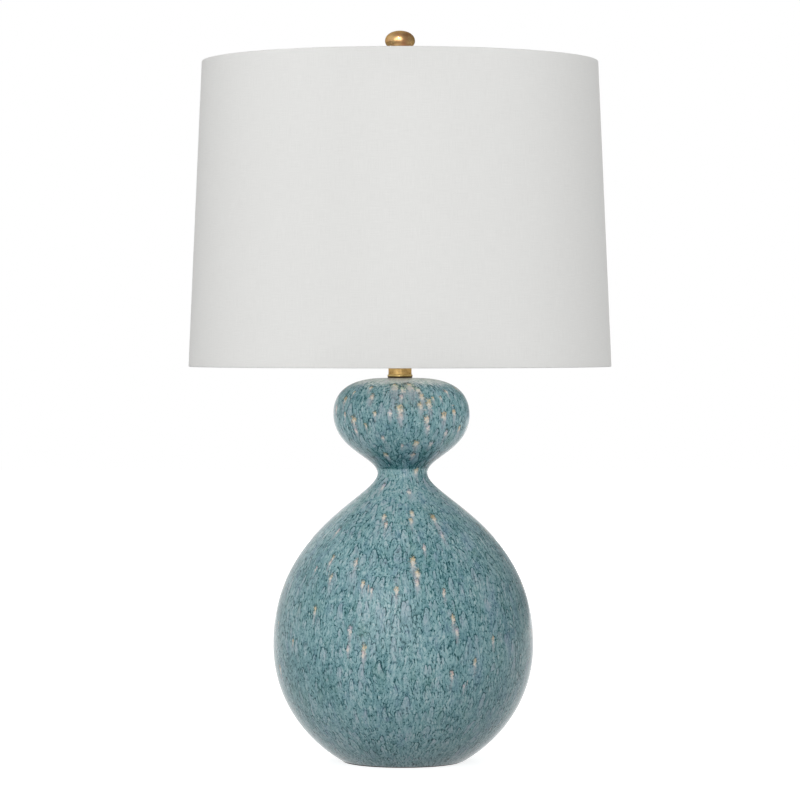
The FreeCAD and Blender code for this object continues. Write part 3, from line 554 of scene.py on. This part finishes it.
def linen_finish():
    finish = Finish("white_linen")
    u, v, _ = finish.split(finish.node("UVMap", uv_map="cloth").outputs[0])
    warp_place = finish.join(finish.times(u, slub_across), finish.times(v, slub_along), 0.0)
    weft_place = finish.join(finish.times(u, slub_along), finish.times(v, slub_across), weft_shift)
    slub = finish.plus(finish.noise(warp_place, roughness=0.6), finish.noise(weft_place, roughness=0.6))
    thread_u = finish.math("SINE", finish.times(u, math.tau / thread_pitch))
    thread_v = finish.math("SINE", finish.times(v, math.tau / thread_pitch))
    height = finish.on_top(slub, finish.times(thread_u, thread_v), weight=0.35)
    share = finish.between(slub, low=0.75, high=1.25, smooth=False)
    colour = finish.mix(share, srgb(225, 225, 223), srgb(231, 231, 229))
    normal = finish.bump(height, distance=0.00008, strength=0.4)
    return finish.surface(Base_Color=colour, Roughness=0.92, Normal=normal, Specular_IOR_Level=0.25)


# Metal, plastic and small parts

# Heights of the painted shade along the foot of the neck ring
ring_shade_bottom = 393.9 * mm
ring_shade_top = 394.7 * mm
ring_wander = 0.0006
mark_stretch = (1.0, 1.0, 9.0)
ring_mark_stretch = (1.0, 1.0, 6.0)
sheen_swing = 0.06


def brass_finish(name, light, dark, patch_scale, roughness, wear):
    """Aged brass: warm metal, darker where it turns away, with browner patches and fine rubbed marks."""
    finish = Finish(name)
    place = finish.object_place()
    patches = finish.noise(place, scale=patch_scale, detail=4.0, roughness=0.6)
    marks = finish.noise(finish.stretched(place, mark_stretch), scale=300.0)
    share = finish.between(patches, low=0.40, high=0.66)
    colour = finish.mix(finish.times(share, wear), light, dark)
    colour = finish.mix(finish.between(marks, low=0.35, high=0.75, end=0.22), colour, dark)
    rough = finish.on_top(roughness, share, weight=0.12)
    normal = finish.bump(finish.on_top(patches, marks, weight=0.3), distance=0.0001, strength=0.25)
    return finish.surface(Base_Color=colour, Metallic=1.0, Roughness=rough, Normal=normal,
                          Specular_Tint=srgb(165, 143, 104), Coat_Weight=0.3, Coat_Roughness=0.22)


def neck_ring_finish():
    """Brass, lighter than the neck for a painted highlight along its upper edge, with rubbed marks and
    painted shade in the groove over the vessel.
    """
    finish = Finish("brass_ring_painted_light")
    place = finish.object_place()
    marks = finish.noise(finish.stretched(place, ring_mark_stretch), scale=420.0, detail=3.0, roughness=0.6)
    wander = finish.times(finish.math("SUBTRACT", marks, 0.5), ring_wander)
    height = finish.plus(finish.split(place)[2], wander)
    colour = finish.mix(finish.between(marks, low=0.35, high=0.7), srgb(236, 210, 142), srgb(198, 162, 96))
    # Painted shade in the groove where the ring meets the vessel
    colour = finish.mix(finish.between(height, ring_shade_top, ring_shade_bottom), colour, srgb(84, 62, 34))
    rough = finish.between(marks, low=0.3, high=0.7, start=0.22, end=0.38)
    normal = finish.bump(marks, distance=0.0001, strength=0.3)
    return finish.surface(Base_Color=colour, Metallic=1.0, Roughness=rough, Normal=normal)


def plain_finish(name, colour, roughness, metallic, vary):
    """An even finish with slight variation in colour and sheen and a fine surface grain."""
    finish = Finish(name)
    place = finish.object_place()
    mottle = finish.noise(place, scale=60.0, detail=4.0, roughness=0.6)
    fine = finish.noise(place, scale=4000.0)
    darker = tuple(c * (1 - 2 * vary) for c in colour)
    lighter = tuple(min(1.0, c * (1 + vary)) for c in colour)
    mottled = finish.mix(finish.between(mottle, low=0.3, high=0.7), darker, lighter)
    rough = finish.between(fine, low=0.2, high=0.8, start=roughness - sheen_swing,
                           end=roughness + sheen_swing)
    normal = finish.bump(fine, distance=0.00005, strength=0.4)
    return finish.surface(Base_Color=mottled, Roughness=rough, Metallic=metallic, Normal=normal)


def felt_finish():
    finish = Finish("pressed_black_felt")
    place = finish.object_place()
    fibres = finish.noise(place, scale=900.0, detail=5.0, roughness=0.75, distortion=1.5)
    lint = finish.noise(place, scale=2600.0, roughness=0.7)
    colour = finish.mix(finish.between(fibres, low=0.3, high=0.75), srgb(22, 22, 24), srgb(52, 52, 54))
    colour = finish.mix(finish.between(lint, low=0.66, high=0.76), colour, srgb(98, 98, 98))
    normal = finish.bump(fibres, distance=0.0004, strength=0.8)
    return finish.surface(Base_Color=colour, Roughness=0.97, Normal=normal,
                          Sheen_Weight=0.3, Sheen_Roughness=0.5)


def frosted_glass_finish():
    finish = Finish("frosted_bulb_glass")
    frost = finish.noise(finish.object_place(), scale=1500.0)
    rough = finish.between(frost, low=0.3, high=0.7, start=0.38, end=0.52)
    return finish.surface(Base_Color=srgb(244, 243, 238), Roughness=rough,
                          Transmission_Weight=0.55, IOR=1.45)


def clear_glass_finish():
    finish = Finish("clear_stem_glass")
    waves = finish.noise(finish.object_place(), scale=180.0, detail=1.0)
    normal = finish.bump(waves, distance=0.0002, strength=0.3)
    return finish.surface(Base_Color=srgb(240, 244, 242), Roughness=0.04, Transmission_Weight=1.0, IOR=1.5,
                          Normal=normal)


# Mesh helpers


def curve_points(curve, count):
    """Points of a curve with two handles, from its start to just before its end."""
    start, handle_a, handle_b, end = (np.array(p) * mm for p in curve)
    t = np.linspace(0.0, 1.0, count + 1)[:-1, None]
    return list(map(tuple, (1 - t) ** 3 * start + 3 * (1 - t) ** 2 * t * handle_a
                    + 3 * (1 - t) * t ** 2 * handle_b + t ** 3 * end))


def joined_points(curves):
    """Points of curves that follow each other, each given with its number of points."""
    return [point for curve, count in curves for point in curve_points(curve, count)]


def turned_mesh(mesh, outline, segments, closed=False):
    """Fills a bmesh with the outline, as (radius, height) pairs, turned all the way round the Z axis."""
    verts = [mesh.verts.new((radius, 0.0, height)) for radius, height in outline]
    edges = [mesh.edges.new(pair) for pair in zip(verts, verts[1:])]
    if closed:
        edges.append(mesh.edges.new((verts[-1], verts[0])))
    bmesh.ops.spin(mesh, geom=verts + edges, cent=(0, 0, 0), axis=(0, 0, 1), angle=math.tau,
                   steps=segments, use_merge=True)
    bmesh.ops.remove_doubles(mesh, verts=mesh.verts, dist=merge_within)
    bmesh.ops.recalc_face_normals(mesh, faces=mesh.faces)


def new_piece(name, mesh, material):
    data = bpy.data.meshes.new(name)
    mesh.to_mesh(data)
    mesh.free()
    data.materials.append(material)
    for polygon in data.polygons:
        polygon.use_smooth = True
    piece = bpy.data.objects.new(name, data)
    bpy.context.scene.collection.objects.link(piece)
    return piece


def keep_sharp_edges(piece, angle_deg):
    """Marks the edges that turn by more than the angle as sharp, so that flat faces stay flat."""
    mesh = bmesh.new()
    mesh.from_mesh(piece.data)
    for edge in mesh.edges:
        if len(edge.link_faces) == 2 and edge.calc_face_angle() > math.radians(angle_deg):
            edge.smooth = False
    mesh.to_mesh(piece.data)
    mesh.free()


def apply_modifiers(piece):
    """Turns the piece's modifiers into its mesh."""
    graph = bpy.context.evaluated_depsgraph_get()
    data = bpy.data.meshes.new_from_object(piece.evaluated_get(graph))
    piece.modifiers.clear()
    piece.data = data


def thicken(piece, thickness):
    """Gives a sheet its thickness, half to each side."""
    thick = piece.modifiers.new("thickness", "SOLIDIFY")
    thick.thickness = thickness
    thick.offset = 0.0


def drill(piece, centre, direction, radius, length):
    """Cuts a round hole of the length, centred on the point, through the piece."""
    mesh = bmesh.new()
    place = Matrix.Translation(centre) @ direction.to_track_quat("Z", "Y").to_matrix().to_4x4()
    bmesh.ops.create_cone(mesh, cap_ends=True, segments=hole_segments, radius1=radius, radius2=radius,
                          depth=length, matrix=place)
    tool = new_piece("drill", mesh, piece.data.materials[0])
    cut = piece.modifiers.new("hole", "BOOLEAN")
    cut.operation = "DIFFERENCE"
    cut.solver = "EXACT"
    cut.object = tool
    apply_modifiers(piece)
    bpy.data.objects.remove(tool)


def way_along(outline):
    """How far each point of the outline is from its start, along it."""
    way = [0.0]
    for (r0, z0), (r1, z1) in zip(outline, outline[1:]):
        way.append(way[-1] + math.hypot(r1 - r0, z1 - z0))
    return way


def outline_tree(outline):
    """Finds the nearest point of an outline."""
    tree = KDTree(len(outline))
    for index, (radius, height) in enumerate(outline):
        tree.insert((radius, 0.0, height), index)
    tree.balance()
    return tree


# Vessel


def axis_at(height):
    """How far right of the rod the middle of the vessel stands at a height."""
    share = max(0.0, height - straight_below) / (vessel_top - straight_below)
    return vessel_axis_x + belly_offset + (top_offset - belly_offset) * share


def make_vessel():
    outside = joined_points(outside_curves) + [(seat_radius, vessel_top)]
    seat = [(seat_radius + (top_hole_radius - seat_radius) * step / seat_steps, vessel_top)
            for step in range(1, seat_steps)]
    inside = joined_points(inside_curves) + [(seat_radius, vessel_top - wall)]
    outline = (outside + seat + [(top_hole_radius, vessel_top), (top_hole_radius, vessel_top - wall)]
               + inside[::-1] + [(floor_hole_radius, floor_top), (floor_hole_radius, recess_top),
                                 (recess_radius, recess_top), (recess_radius, felt_top)])
    mesh = bmesh.new()
    turned_mesh(mesh, outline, vessel_segments, closed=True)
    for vert in mesh.verts:
        vert.co.x += axis_at(vert.co.z)
    piece = new_piece("glazed_vessel", mesh, glaze_finish())
    drill(piece, Vector((vessel_axis_x, foot_curve[0][0] * mm, bushing_height)), Vector((0, 1, 0)),
          bushing_hole_radius, bushing_hole_length)
    keep_sharp_edges(piece, vessel_crease_deg)
    mark_glaze(piece, outside)
    return piece


# The part of a line of sight that is searched for the vessel, nearer and farther than its axis
search_nearer = 0.16
search_farther = 0.02
search_step = 0.0002


def seen_place(across, down, outline):
    """Turn, way along the outline and radius of the point of the vessel seen at a point of the picture."""
    heights = [height for _, height in outline]
    radii = [radius for radius, _ in outline]
    reach = frame_width / camera_distance / picture_width
    ray = Vector(((across - picture_width / 2) * reach, (picture_width / 2 - down) * reach, -1.0))
    ray = camera.rotation_euler.to_matrix() @ ray
    for depth in np.arange(camera_distance - search_nearer, camera_distance + search_farther, search_step):
        point = camera.location + ray * float(depth)
        x = point.x - axis_at(point.z)
        radius = float(np.interp(point.z, heights, radii))
        if math.hypot(x, point.y) <= radius:
            return math.atan2(x, -point.y), float(np.interp(point.z, heights, way_along(outline))), radius
    return None


def turned_by(turn, other):
    """The turn from the other, taken the short way round."""
    return (turn - other + math.pi) % math.tau - math.pi


def placed_drops(outline):
    """The cream drops seen from the front, and others like them strewn over the sides and the back."""
    way = way_along(outline)
    radii = [radius for radius, _ in outline]
    dice = random.Random(dice_seed)
    drops = []
    for across, down, size, kind in drops_seen:
        place = seen_place(across, down, outline)
        if place:
            drops.append((*place, size * (upper_drop_growth if down < waist_row else 1.0), kind))
    for _ in range(strewn_tries):
        turn = dice.uniform(front_turn, math.tau - front_turn)
        upper = dice.random() < upper_share
        arc = dice.uniform(*(upper_way if upper else lower_way)) * way[-1]
        radius = float(np.interp(arc, way, radii))
        size = dice.choice(strewn_sizes)
        kind = dice.choice(strewn_kinds)
        apart = upper_spacing if upper else lower_spacing
        if all(abs(turned_by(turn, t)) * radius > apart or abs(arc - a) > apart for t, a, *_ in drops):
            drops.append((turn, arc, radius, size, kind))
    return drops


def mark_glaze(piece, outline):
    """Stores at each point its way along the outline, and in layers its place beside the nearest drop."""
    way = way_along(outline)
    tree = outline_tree(outline)
    verts = piece.data.vertices
    arcs = np.zeros(len(verts))
    turns = np.zeros(len(verts))
    off = np.zeros(len(verts))
    for vert in verts:
        x = vert.co.x - axis_at(vert.co.z)
        _, index, gap = tree.find((math.hypot(x, vert.co.y), 0.0, vert.co.z))
        arcs[vert.index] = way[index]
        turns[vert.index] = math.atan2(x, -vert.co.y)
        off[vert.index] = gap
    piece.data.attributes.new("arc", "FLOAT", "POINT").data.foreach_set("value", arcs)
    marks = {layer: np.full((len(verts), 3), no_drop) for layer in drop_layers}
    waist_way = float(np.interp(waist_level * mm, [height for _, height in outline], way))
    for turn, arc, radius, size, kind in placed_drops(outline):
        half_width = drop_half_width * size
        half_length = drop_half_length * size * (belly_drop_stretch if arc < waist_way else 1.0)
        across = turned_by(turns, turn) * radius / half_width
        up = (arcs - arc) / half_length
        spare = radius * math.tau / vessel_segments / half_width
        row = row_height / half_length
        near = ((np.abs(across) < mark_aside + spare) & (up < mark_up + row) & (up > -mark_down - row)
                & (off < outside_within))
        for layer in drop_layers:
            if np.all(marks[layer][near, 0] == no_drop):
                marks[layer][near] = np.stack((across, up, np.full(len(verts), kind)), axis=1)[near]
                break
    for layer, values in marks.items():
        piece.data.attributes.new(layer, "FLOAT_VECTOR", "POINT").data.foreach_set("vector", values.ravel())


# Shade


def shade_radius(height, depth=0.0):
    """Radius of the shade's outside at a height, less a depth into its wall."""
    share = (height - shade_bottom) / (shade_top - shade_bottom)
    return shade_bottom_radius + share * (shade_top_radius - shade_bottom_radius) - depth


def rim_outline(edge, side):
    """The linen's middle layer from the outer wall over a rim, round the ring wire and up inside."""
    half = linen_thickness / 2
    steps = [(rim_corner - (rim_corner - half) * math.cos(angle),
              rim_corner - (rim_corner - half) * math.sin(angle))
             for angle in np.linspace(0, math.pi / 2, rim_corner_points)]
    steps += [(rim_depth - roll_corner + (roll_corner - half) * math.sin(angle),
               roll_corner - (roll_corner - half) * math.cos(angle))
              for angle in np.linspace(0, math.pi / 2, roll_corner_points)]
    steps += [(rim_depth - half, drop) for drop in np.linspace(roll_corner, linen_tuck, tuck_points)[1:]]
    return [(shade_radius(edge - side * drop, depth), edge - side * drop) for depth, drop in steps]


def side_outline(depth):
    """The shade's side between its two rims, at a depth into its wall."""
    return [(shade_radius(height, depth), height)
            for height in np.linspace(shade_bottom + rim_corner, shade_top - rim_corner, side_points)]


def linen_outline():
    return (rim_outline(shade_bottom, -1)[::-1] + side_outline(linen_thickness / 2)[1:-1]
            + rim_outline(shade_top, 1))


def linen_cut(cut_length):
    """Flat width and length of the linen, and its area: a sector of a ring, as a tapered shade is cut."""
    slant = math.hypot(shade_top - shade_bottom, shade_bottom_radius - shade_top_radius)
    apex = slant * shade_bottom_radius / (shade_bottom_radius - shade_top_radius)
    spare = (cut_length - slant) / 2
    outer = apex + spare
    inner = apex - slant - spare
    half_turn = (math.tau * shade_bottom_radius + lap_width) / apex / 2
    flat = (2 * outer * math.sin(half_turn), outer - inner * math.cos(half_turn))
    return flat, half_turn * (outer ** 2 - inner ** 2)


def make_linen():
    outline = linen_outline()
    mesh = bmesh.new()
    turned_mesh(mesh, outline, shade_segments)
    piece = new_piece("linen_cover", mesh, linen_finish())
    mark_cloth(piece, outline)
    thicken(piece, linen_thickness)
    apply_modifiers(piece)
    for angle_deg in arm_angles_deg:
        outward = Matrix.Rotation(math.radians(angle_deg), 3, "Z") @ Vector((1, 0, 0))
        ring_centre = shade_radius(ring_level, ring_depth)
        centre = outward * (ring_centre - arm_slit_length / 2) + Vector((0, 0, ring_level))
        drill(piece, centre, outward, arm_slit_radius, arm_slit_length)
    return piece


def make_seam_lap():
    """The end of the linen, lapped over its start down the rear of the shade."""
    outline = side_outline(-lap_lift)
    mesh = bmesh.new()
    verts = [mesh.verts.new((radius, 0.0, height)) for radius, height in outline]
    edges = [mesh.edges.new(pair) for pair in zip(verts, verts[1:])]
    turn = lap_width / shade_bottom_radius
    bmesh.ops.spin(mesh, geom=verts + edges, cent=(0, 0, 0), axis=(0, 0, 1), angle=turn, steps=lap_steps)
    to_rear = Matrix.Rotation(math.pi / 2 - turn / 2, 3, "Z")
    bmesh.ops.rotate(mesh, verts=mesh.verts, cent=(0, 0, 0), matrix=to_rear)
    bmesh.ops.recalc_face_normals(mesh, faces=mesh.faces)
    piece = new_piece("linen_seam_lap", mesh, linen.data.materials[0])
    mark_cloth(piece, outline)
    thicken(piece, lap_thickness)
    rounded = piece.modifiers.new("rounded_edges", "BEVEL")
    rounded.width = lap_rounding
    rounded.segments = 2
    rounded.limit_method = "ANGLE"
    apply_modifiers(piece)
    keep_sharp_edges(piece, lap_crease_deg)
    return piece


def mark_cloth(piece, outline):
    """Lays the linen out flat in its own map, in metres: round the shade and along the cut."""
    way = way_along(outline)
    tree = outline_tree(outline)
    layer = piece.data.uv_layers.new(name="cloth")
    mean_radius = (shade_bottom_radius + shade_top_radius) / 2
    for polygon in piece.data.polygons:
        corners = [piece.data.vertices[vertex].co for vertex in polygon.vertices]
        turns = [math.atan2(corner.x, -corner.y) for corner in corners]
        crosses = max(turns) - min(turns) > math.pi
        for loop, turn, corner in zip(polygon.loop_indices, turns, corners):
            _, index, _ = tree.find((math.hypot(corner.x, corner.y), 0.0, corner.z))
            turn = turn + math.tau if crosses and turn < 0 else turn
            layer.data[loop].uv = (turn * mean_radius, way[index])


# Felt


def make_felt():
    low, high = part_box("felt_pad")
    radius = (high.x - low.x) / 2
    thickness = high.z - low.z
    edge = thickness * felt_rounding
    corner = edge * felt_corner
    rings = [recess_radius * ring / felt_rings for ring in range(1, felt_rings)]
    outline = [(0.0, 0.0)] + [(ring, 0.0) for ring in rings]
    outline += [(radius - edge, 0.0), (radius - corner, corner), (radius, edge),
                (radius, thickness - edge), (radius - corner, thickness - corner),
                (radius - edge, thickness)]
    outline += [(ring, thickness) for ring in rings[::-1]] + [(0.0, thickness)]
    mesh = bmesh.new()
    turned_mesh(mesh, outline, felt_segments)
    bmesh.ops.translate(mesh, verts=mesh.verts, vec=((low.x + high.x) / 2, 0, low.z))
    return new_piece("felt_disc", mesh, felt_finish())


# Pieces

vessel = make_vessel()
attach(vessel, "base")
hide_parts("vessel")

linen = make_linen()
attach(linen, "shade")
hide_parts("shade_linen")

seam_lap = make_seam_lap()
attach(seam_lap, "shade")

linen_flat, linen_area = linen_cut(way_along(linen_outline())[-1])

felt = make_felt()
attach(felt, "base")
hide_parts("felt_pad")

# Brass finishes: name, light and dark colour, patch scale, roughness and wear
brass_finishes = (
    ("antique_brass", srgb(222, 184, 116), srgb(158, 116, 62), 240.0, 0.42, 0.5),
    ("gold_leaf", srgb(202, 168, 114), srgb(178, 118, 84), 90.0, 0.27, 0.75),
    ("plain_brass", srgb(214, 180, 112), srgb(170, 128, 70), 300.0, 0.25, 0.5),
)
# Other finishes: name, colour, roughness, 1 for metal or 0, and how much the colour varies
plain_finishes = (
    ("plated_steel", srgb(182, 184, 186), 0.34, 1.0, 0.04),
    ("bright_aluminium", srgb(214, 214, 214), 0.24, 1.0, 0.12),
    ("black_phenolic", srgb(26, 25, 25), 0.3, 0.0, 0.12),
    ("white_wire", srgb(226, 226, 222), 0.45, 0.0, 0.12),
    ("white_styrene", srgb(247, 247, 245), 0.5, 0.0, 0.01),
    ("brown_plastic", srgb(70, 50, 38), 0.45, 0.0, 0.12),
    ("dark_rubber", srgb(84, 72, 58), 0.6, 0.0, 0.12),
    ("fibre_liner", srgb(176, 150, 116), 0.85, 0.0, 0.12),
    ("solder", srgb(178, 180, 182), 0.35, 1.0, 0.12),
    ("black_glass", srgb(18, 18, 20), 0.1, 0.0, 0.12),
    ("tungsten", srgb(120, 120, 122), 0.4, 1.0, 0.12),
)
finishes = {name: brass_finish(name, *look) for name, *look in brass_finishes}
finishes.update({name: plain_finish(name, *look) for name, *look in plain_finishes})
finishes["frosted_glass"] = frosted_glass_finish()
finishes["clear_glass"] = clear_glass_finish()
nodes["neck_ring"].material_slots[0].material = neck_ring_finish()
for node in nodes.values():
    for place in node.material_slots:
        name = place.material.name.split(".")[0] if place.material else ""
        if name in finishes:
            place.material = finishes[name]


# Studio

floor_size = 8.0
floor_gap = 0.2 * mm
floor_colour = (0.50,) * 3
floor_glow = 0.84
sky_light = 0.40
white = (1.0, 1.0, 1.0)
# In reflections the studio dims towards the right and overhead: where it starts, ends, from and to
dim_side = (-0.1, 0.5, 1.0, 0.40)
dim_above = (0.6, 0.95, 1.0, 0.60)
lamp_middle = (0.0, 0.0, 0.35)
beam_softness = 0.2


def make_floor():
    """A pale floor just under the felt, clear from below so that the underside can be looked at."""
    mesh = bmesh.new()
    bmesh.ops.create_grid(mesh, x_segments=1, y_segments=1, size=floor_size)
    bmesh.ops.translate(mesh, verts=mesh.verts, vec=(0, 0, -floor_gap))
    finish = Finish("pale_floor")
    rays = finish.node("LightPath").outputs
    seen = finish.math("MAXIMUM", finish.math("MAXIMUM", rays["Is Camera Ray"], rays["Is Glossy Ray"]),
                       rays["Is Transmission Ray"])
    diffuse = finish.node("BsdfDiffuse", {"Color": floor_colour}).outputs[0]
    glow = finish.node("Emission", {"Color": white, "Strength": finish.times(seen, floor_glow)}).outputs[0]
    top = finish.node("AddShader", {0: diffuse, 1: glow}).outputs[0]
    below = finish.node("NewGeometry").outputs["Backfacing"]
    clear = finish.node("BsdfTransparent").outputs[0]
    surface = finish.node("MixShader", {0: below, 1: top, 2: clear}).outputs[0]
    finish.node("OutputMaterial", {"Surface": surface})
    return new_piece("floor", mesh, finish.owner)


def make_world():
    """White for the camera, dimmer where it lights the lamp, and dimmed to one side in reflections."""
    finish = Finish("studio", "worlds")
    bpy.context.scene.world = finish.owner
    rays = finish.node("LightPath").outputs
    x, _, z = finish.split(finish.node("TexCoord").outputs["Generated"])
    reflected = finish.times(finish.between(x, *dim_side), finish.between(z, *dim_above))
    strength = finish.blend(rays["Is Glossy Ray"], sky_light, reflected)
    strength = finish.blend(rays["Is Transmission Ray"], strength, 1.0)
    strength = finish.blend(rays["Is Camera Ray"], strength, 1.0)
    background = finish.node("Background", {"Color": white, "Strength": strength}).outputs[0]
    finish.node("OutputWorld", {"Surface": background})


def aimed_lamp(name, kind, place, target, watts):
    data = bpy.data.lights.new(name, kind)
    data.energy = watts
    lamp = bpy.data.objects.new(name, data)
    bpy.context.scene.collection.objects.link(lamp)
    lamp.location = place
    lamp.rotation_euler = (Vector(target) - Vector(place)).to_track_quat("-Z", "Y").to_euler()
    return lamp


def softbox(name, place, target, width, height, watts, seen=True):
    """A soft rectangular lamp. One that isn't seen shows neither to the camera nor in reflections."""
    lamp = aimed_lamp(name, "AREA", place, target, watts)
    lamp.data.shape = "RECTANGLE"
    lamp.data.size = width
    lamp.data.size_y = height
    lamp.visible_glossy = seen
    lamp.visible_camera = seen


def beam(name, place, target, width_deg, radius, watts):
    """A narrow soft-edged beam."""
    lamp = aimed_lamp(name, "SPOT", place, target, watts)
    lamp.data.spot_size = math.radians(width_deg)
    lamp.data.spot_blend = beam_softness
    lamp.data.shadow_soft_size = radius
    return lamp


floor = make_floor()
make_world()
softbox("key", place=(-1.0, -3.9, 1.2), target=lamp_middle, width=4.2, height=3.6, watts=115.0)
softbox("rear", place=(0.2, 3.9, 1.0), target=lamp_middle, width=3.0, height=3.6, watts=90.0, seen=False)
# Two beams even out the light on the sides of the shade
for name, side, watts in (("shade_beam_right", 1, 135.0), ("shade_beam_left", -1, 72.0)):
    shade_beam = beam(name, place=(side * 3.28, -1.13, 0.585), target=(0, 0, 0.565), width_deg=9.4,
                      radius=0.05, watts=watts)
    shade_beam.visible_glossy = False
softbox("light_through_the_shade", place=(0, 0, 0.70), target=(0, 0, 0), width=0.24, height=0.24,
        watts=0.15, seen=False)
finial_glint = beam("finial_glint", place=(-0.48, -2.38, 2.50), target=(0, 0, 0.738), width_deg=6.0,
                    radius=0.12, watts=150.0)
finial_glint.visible_diffuse = False
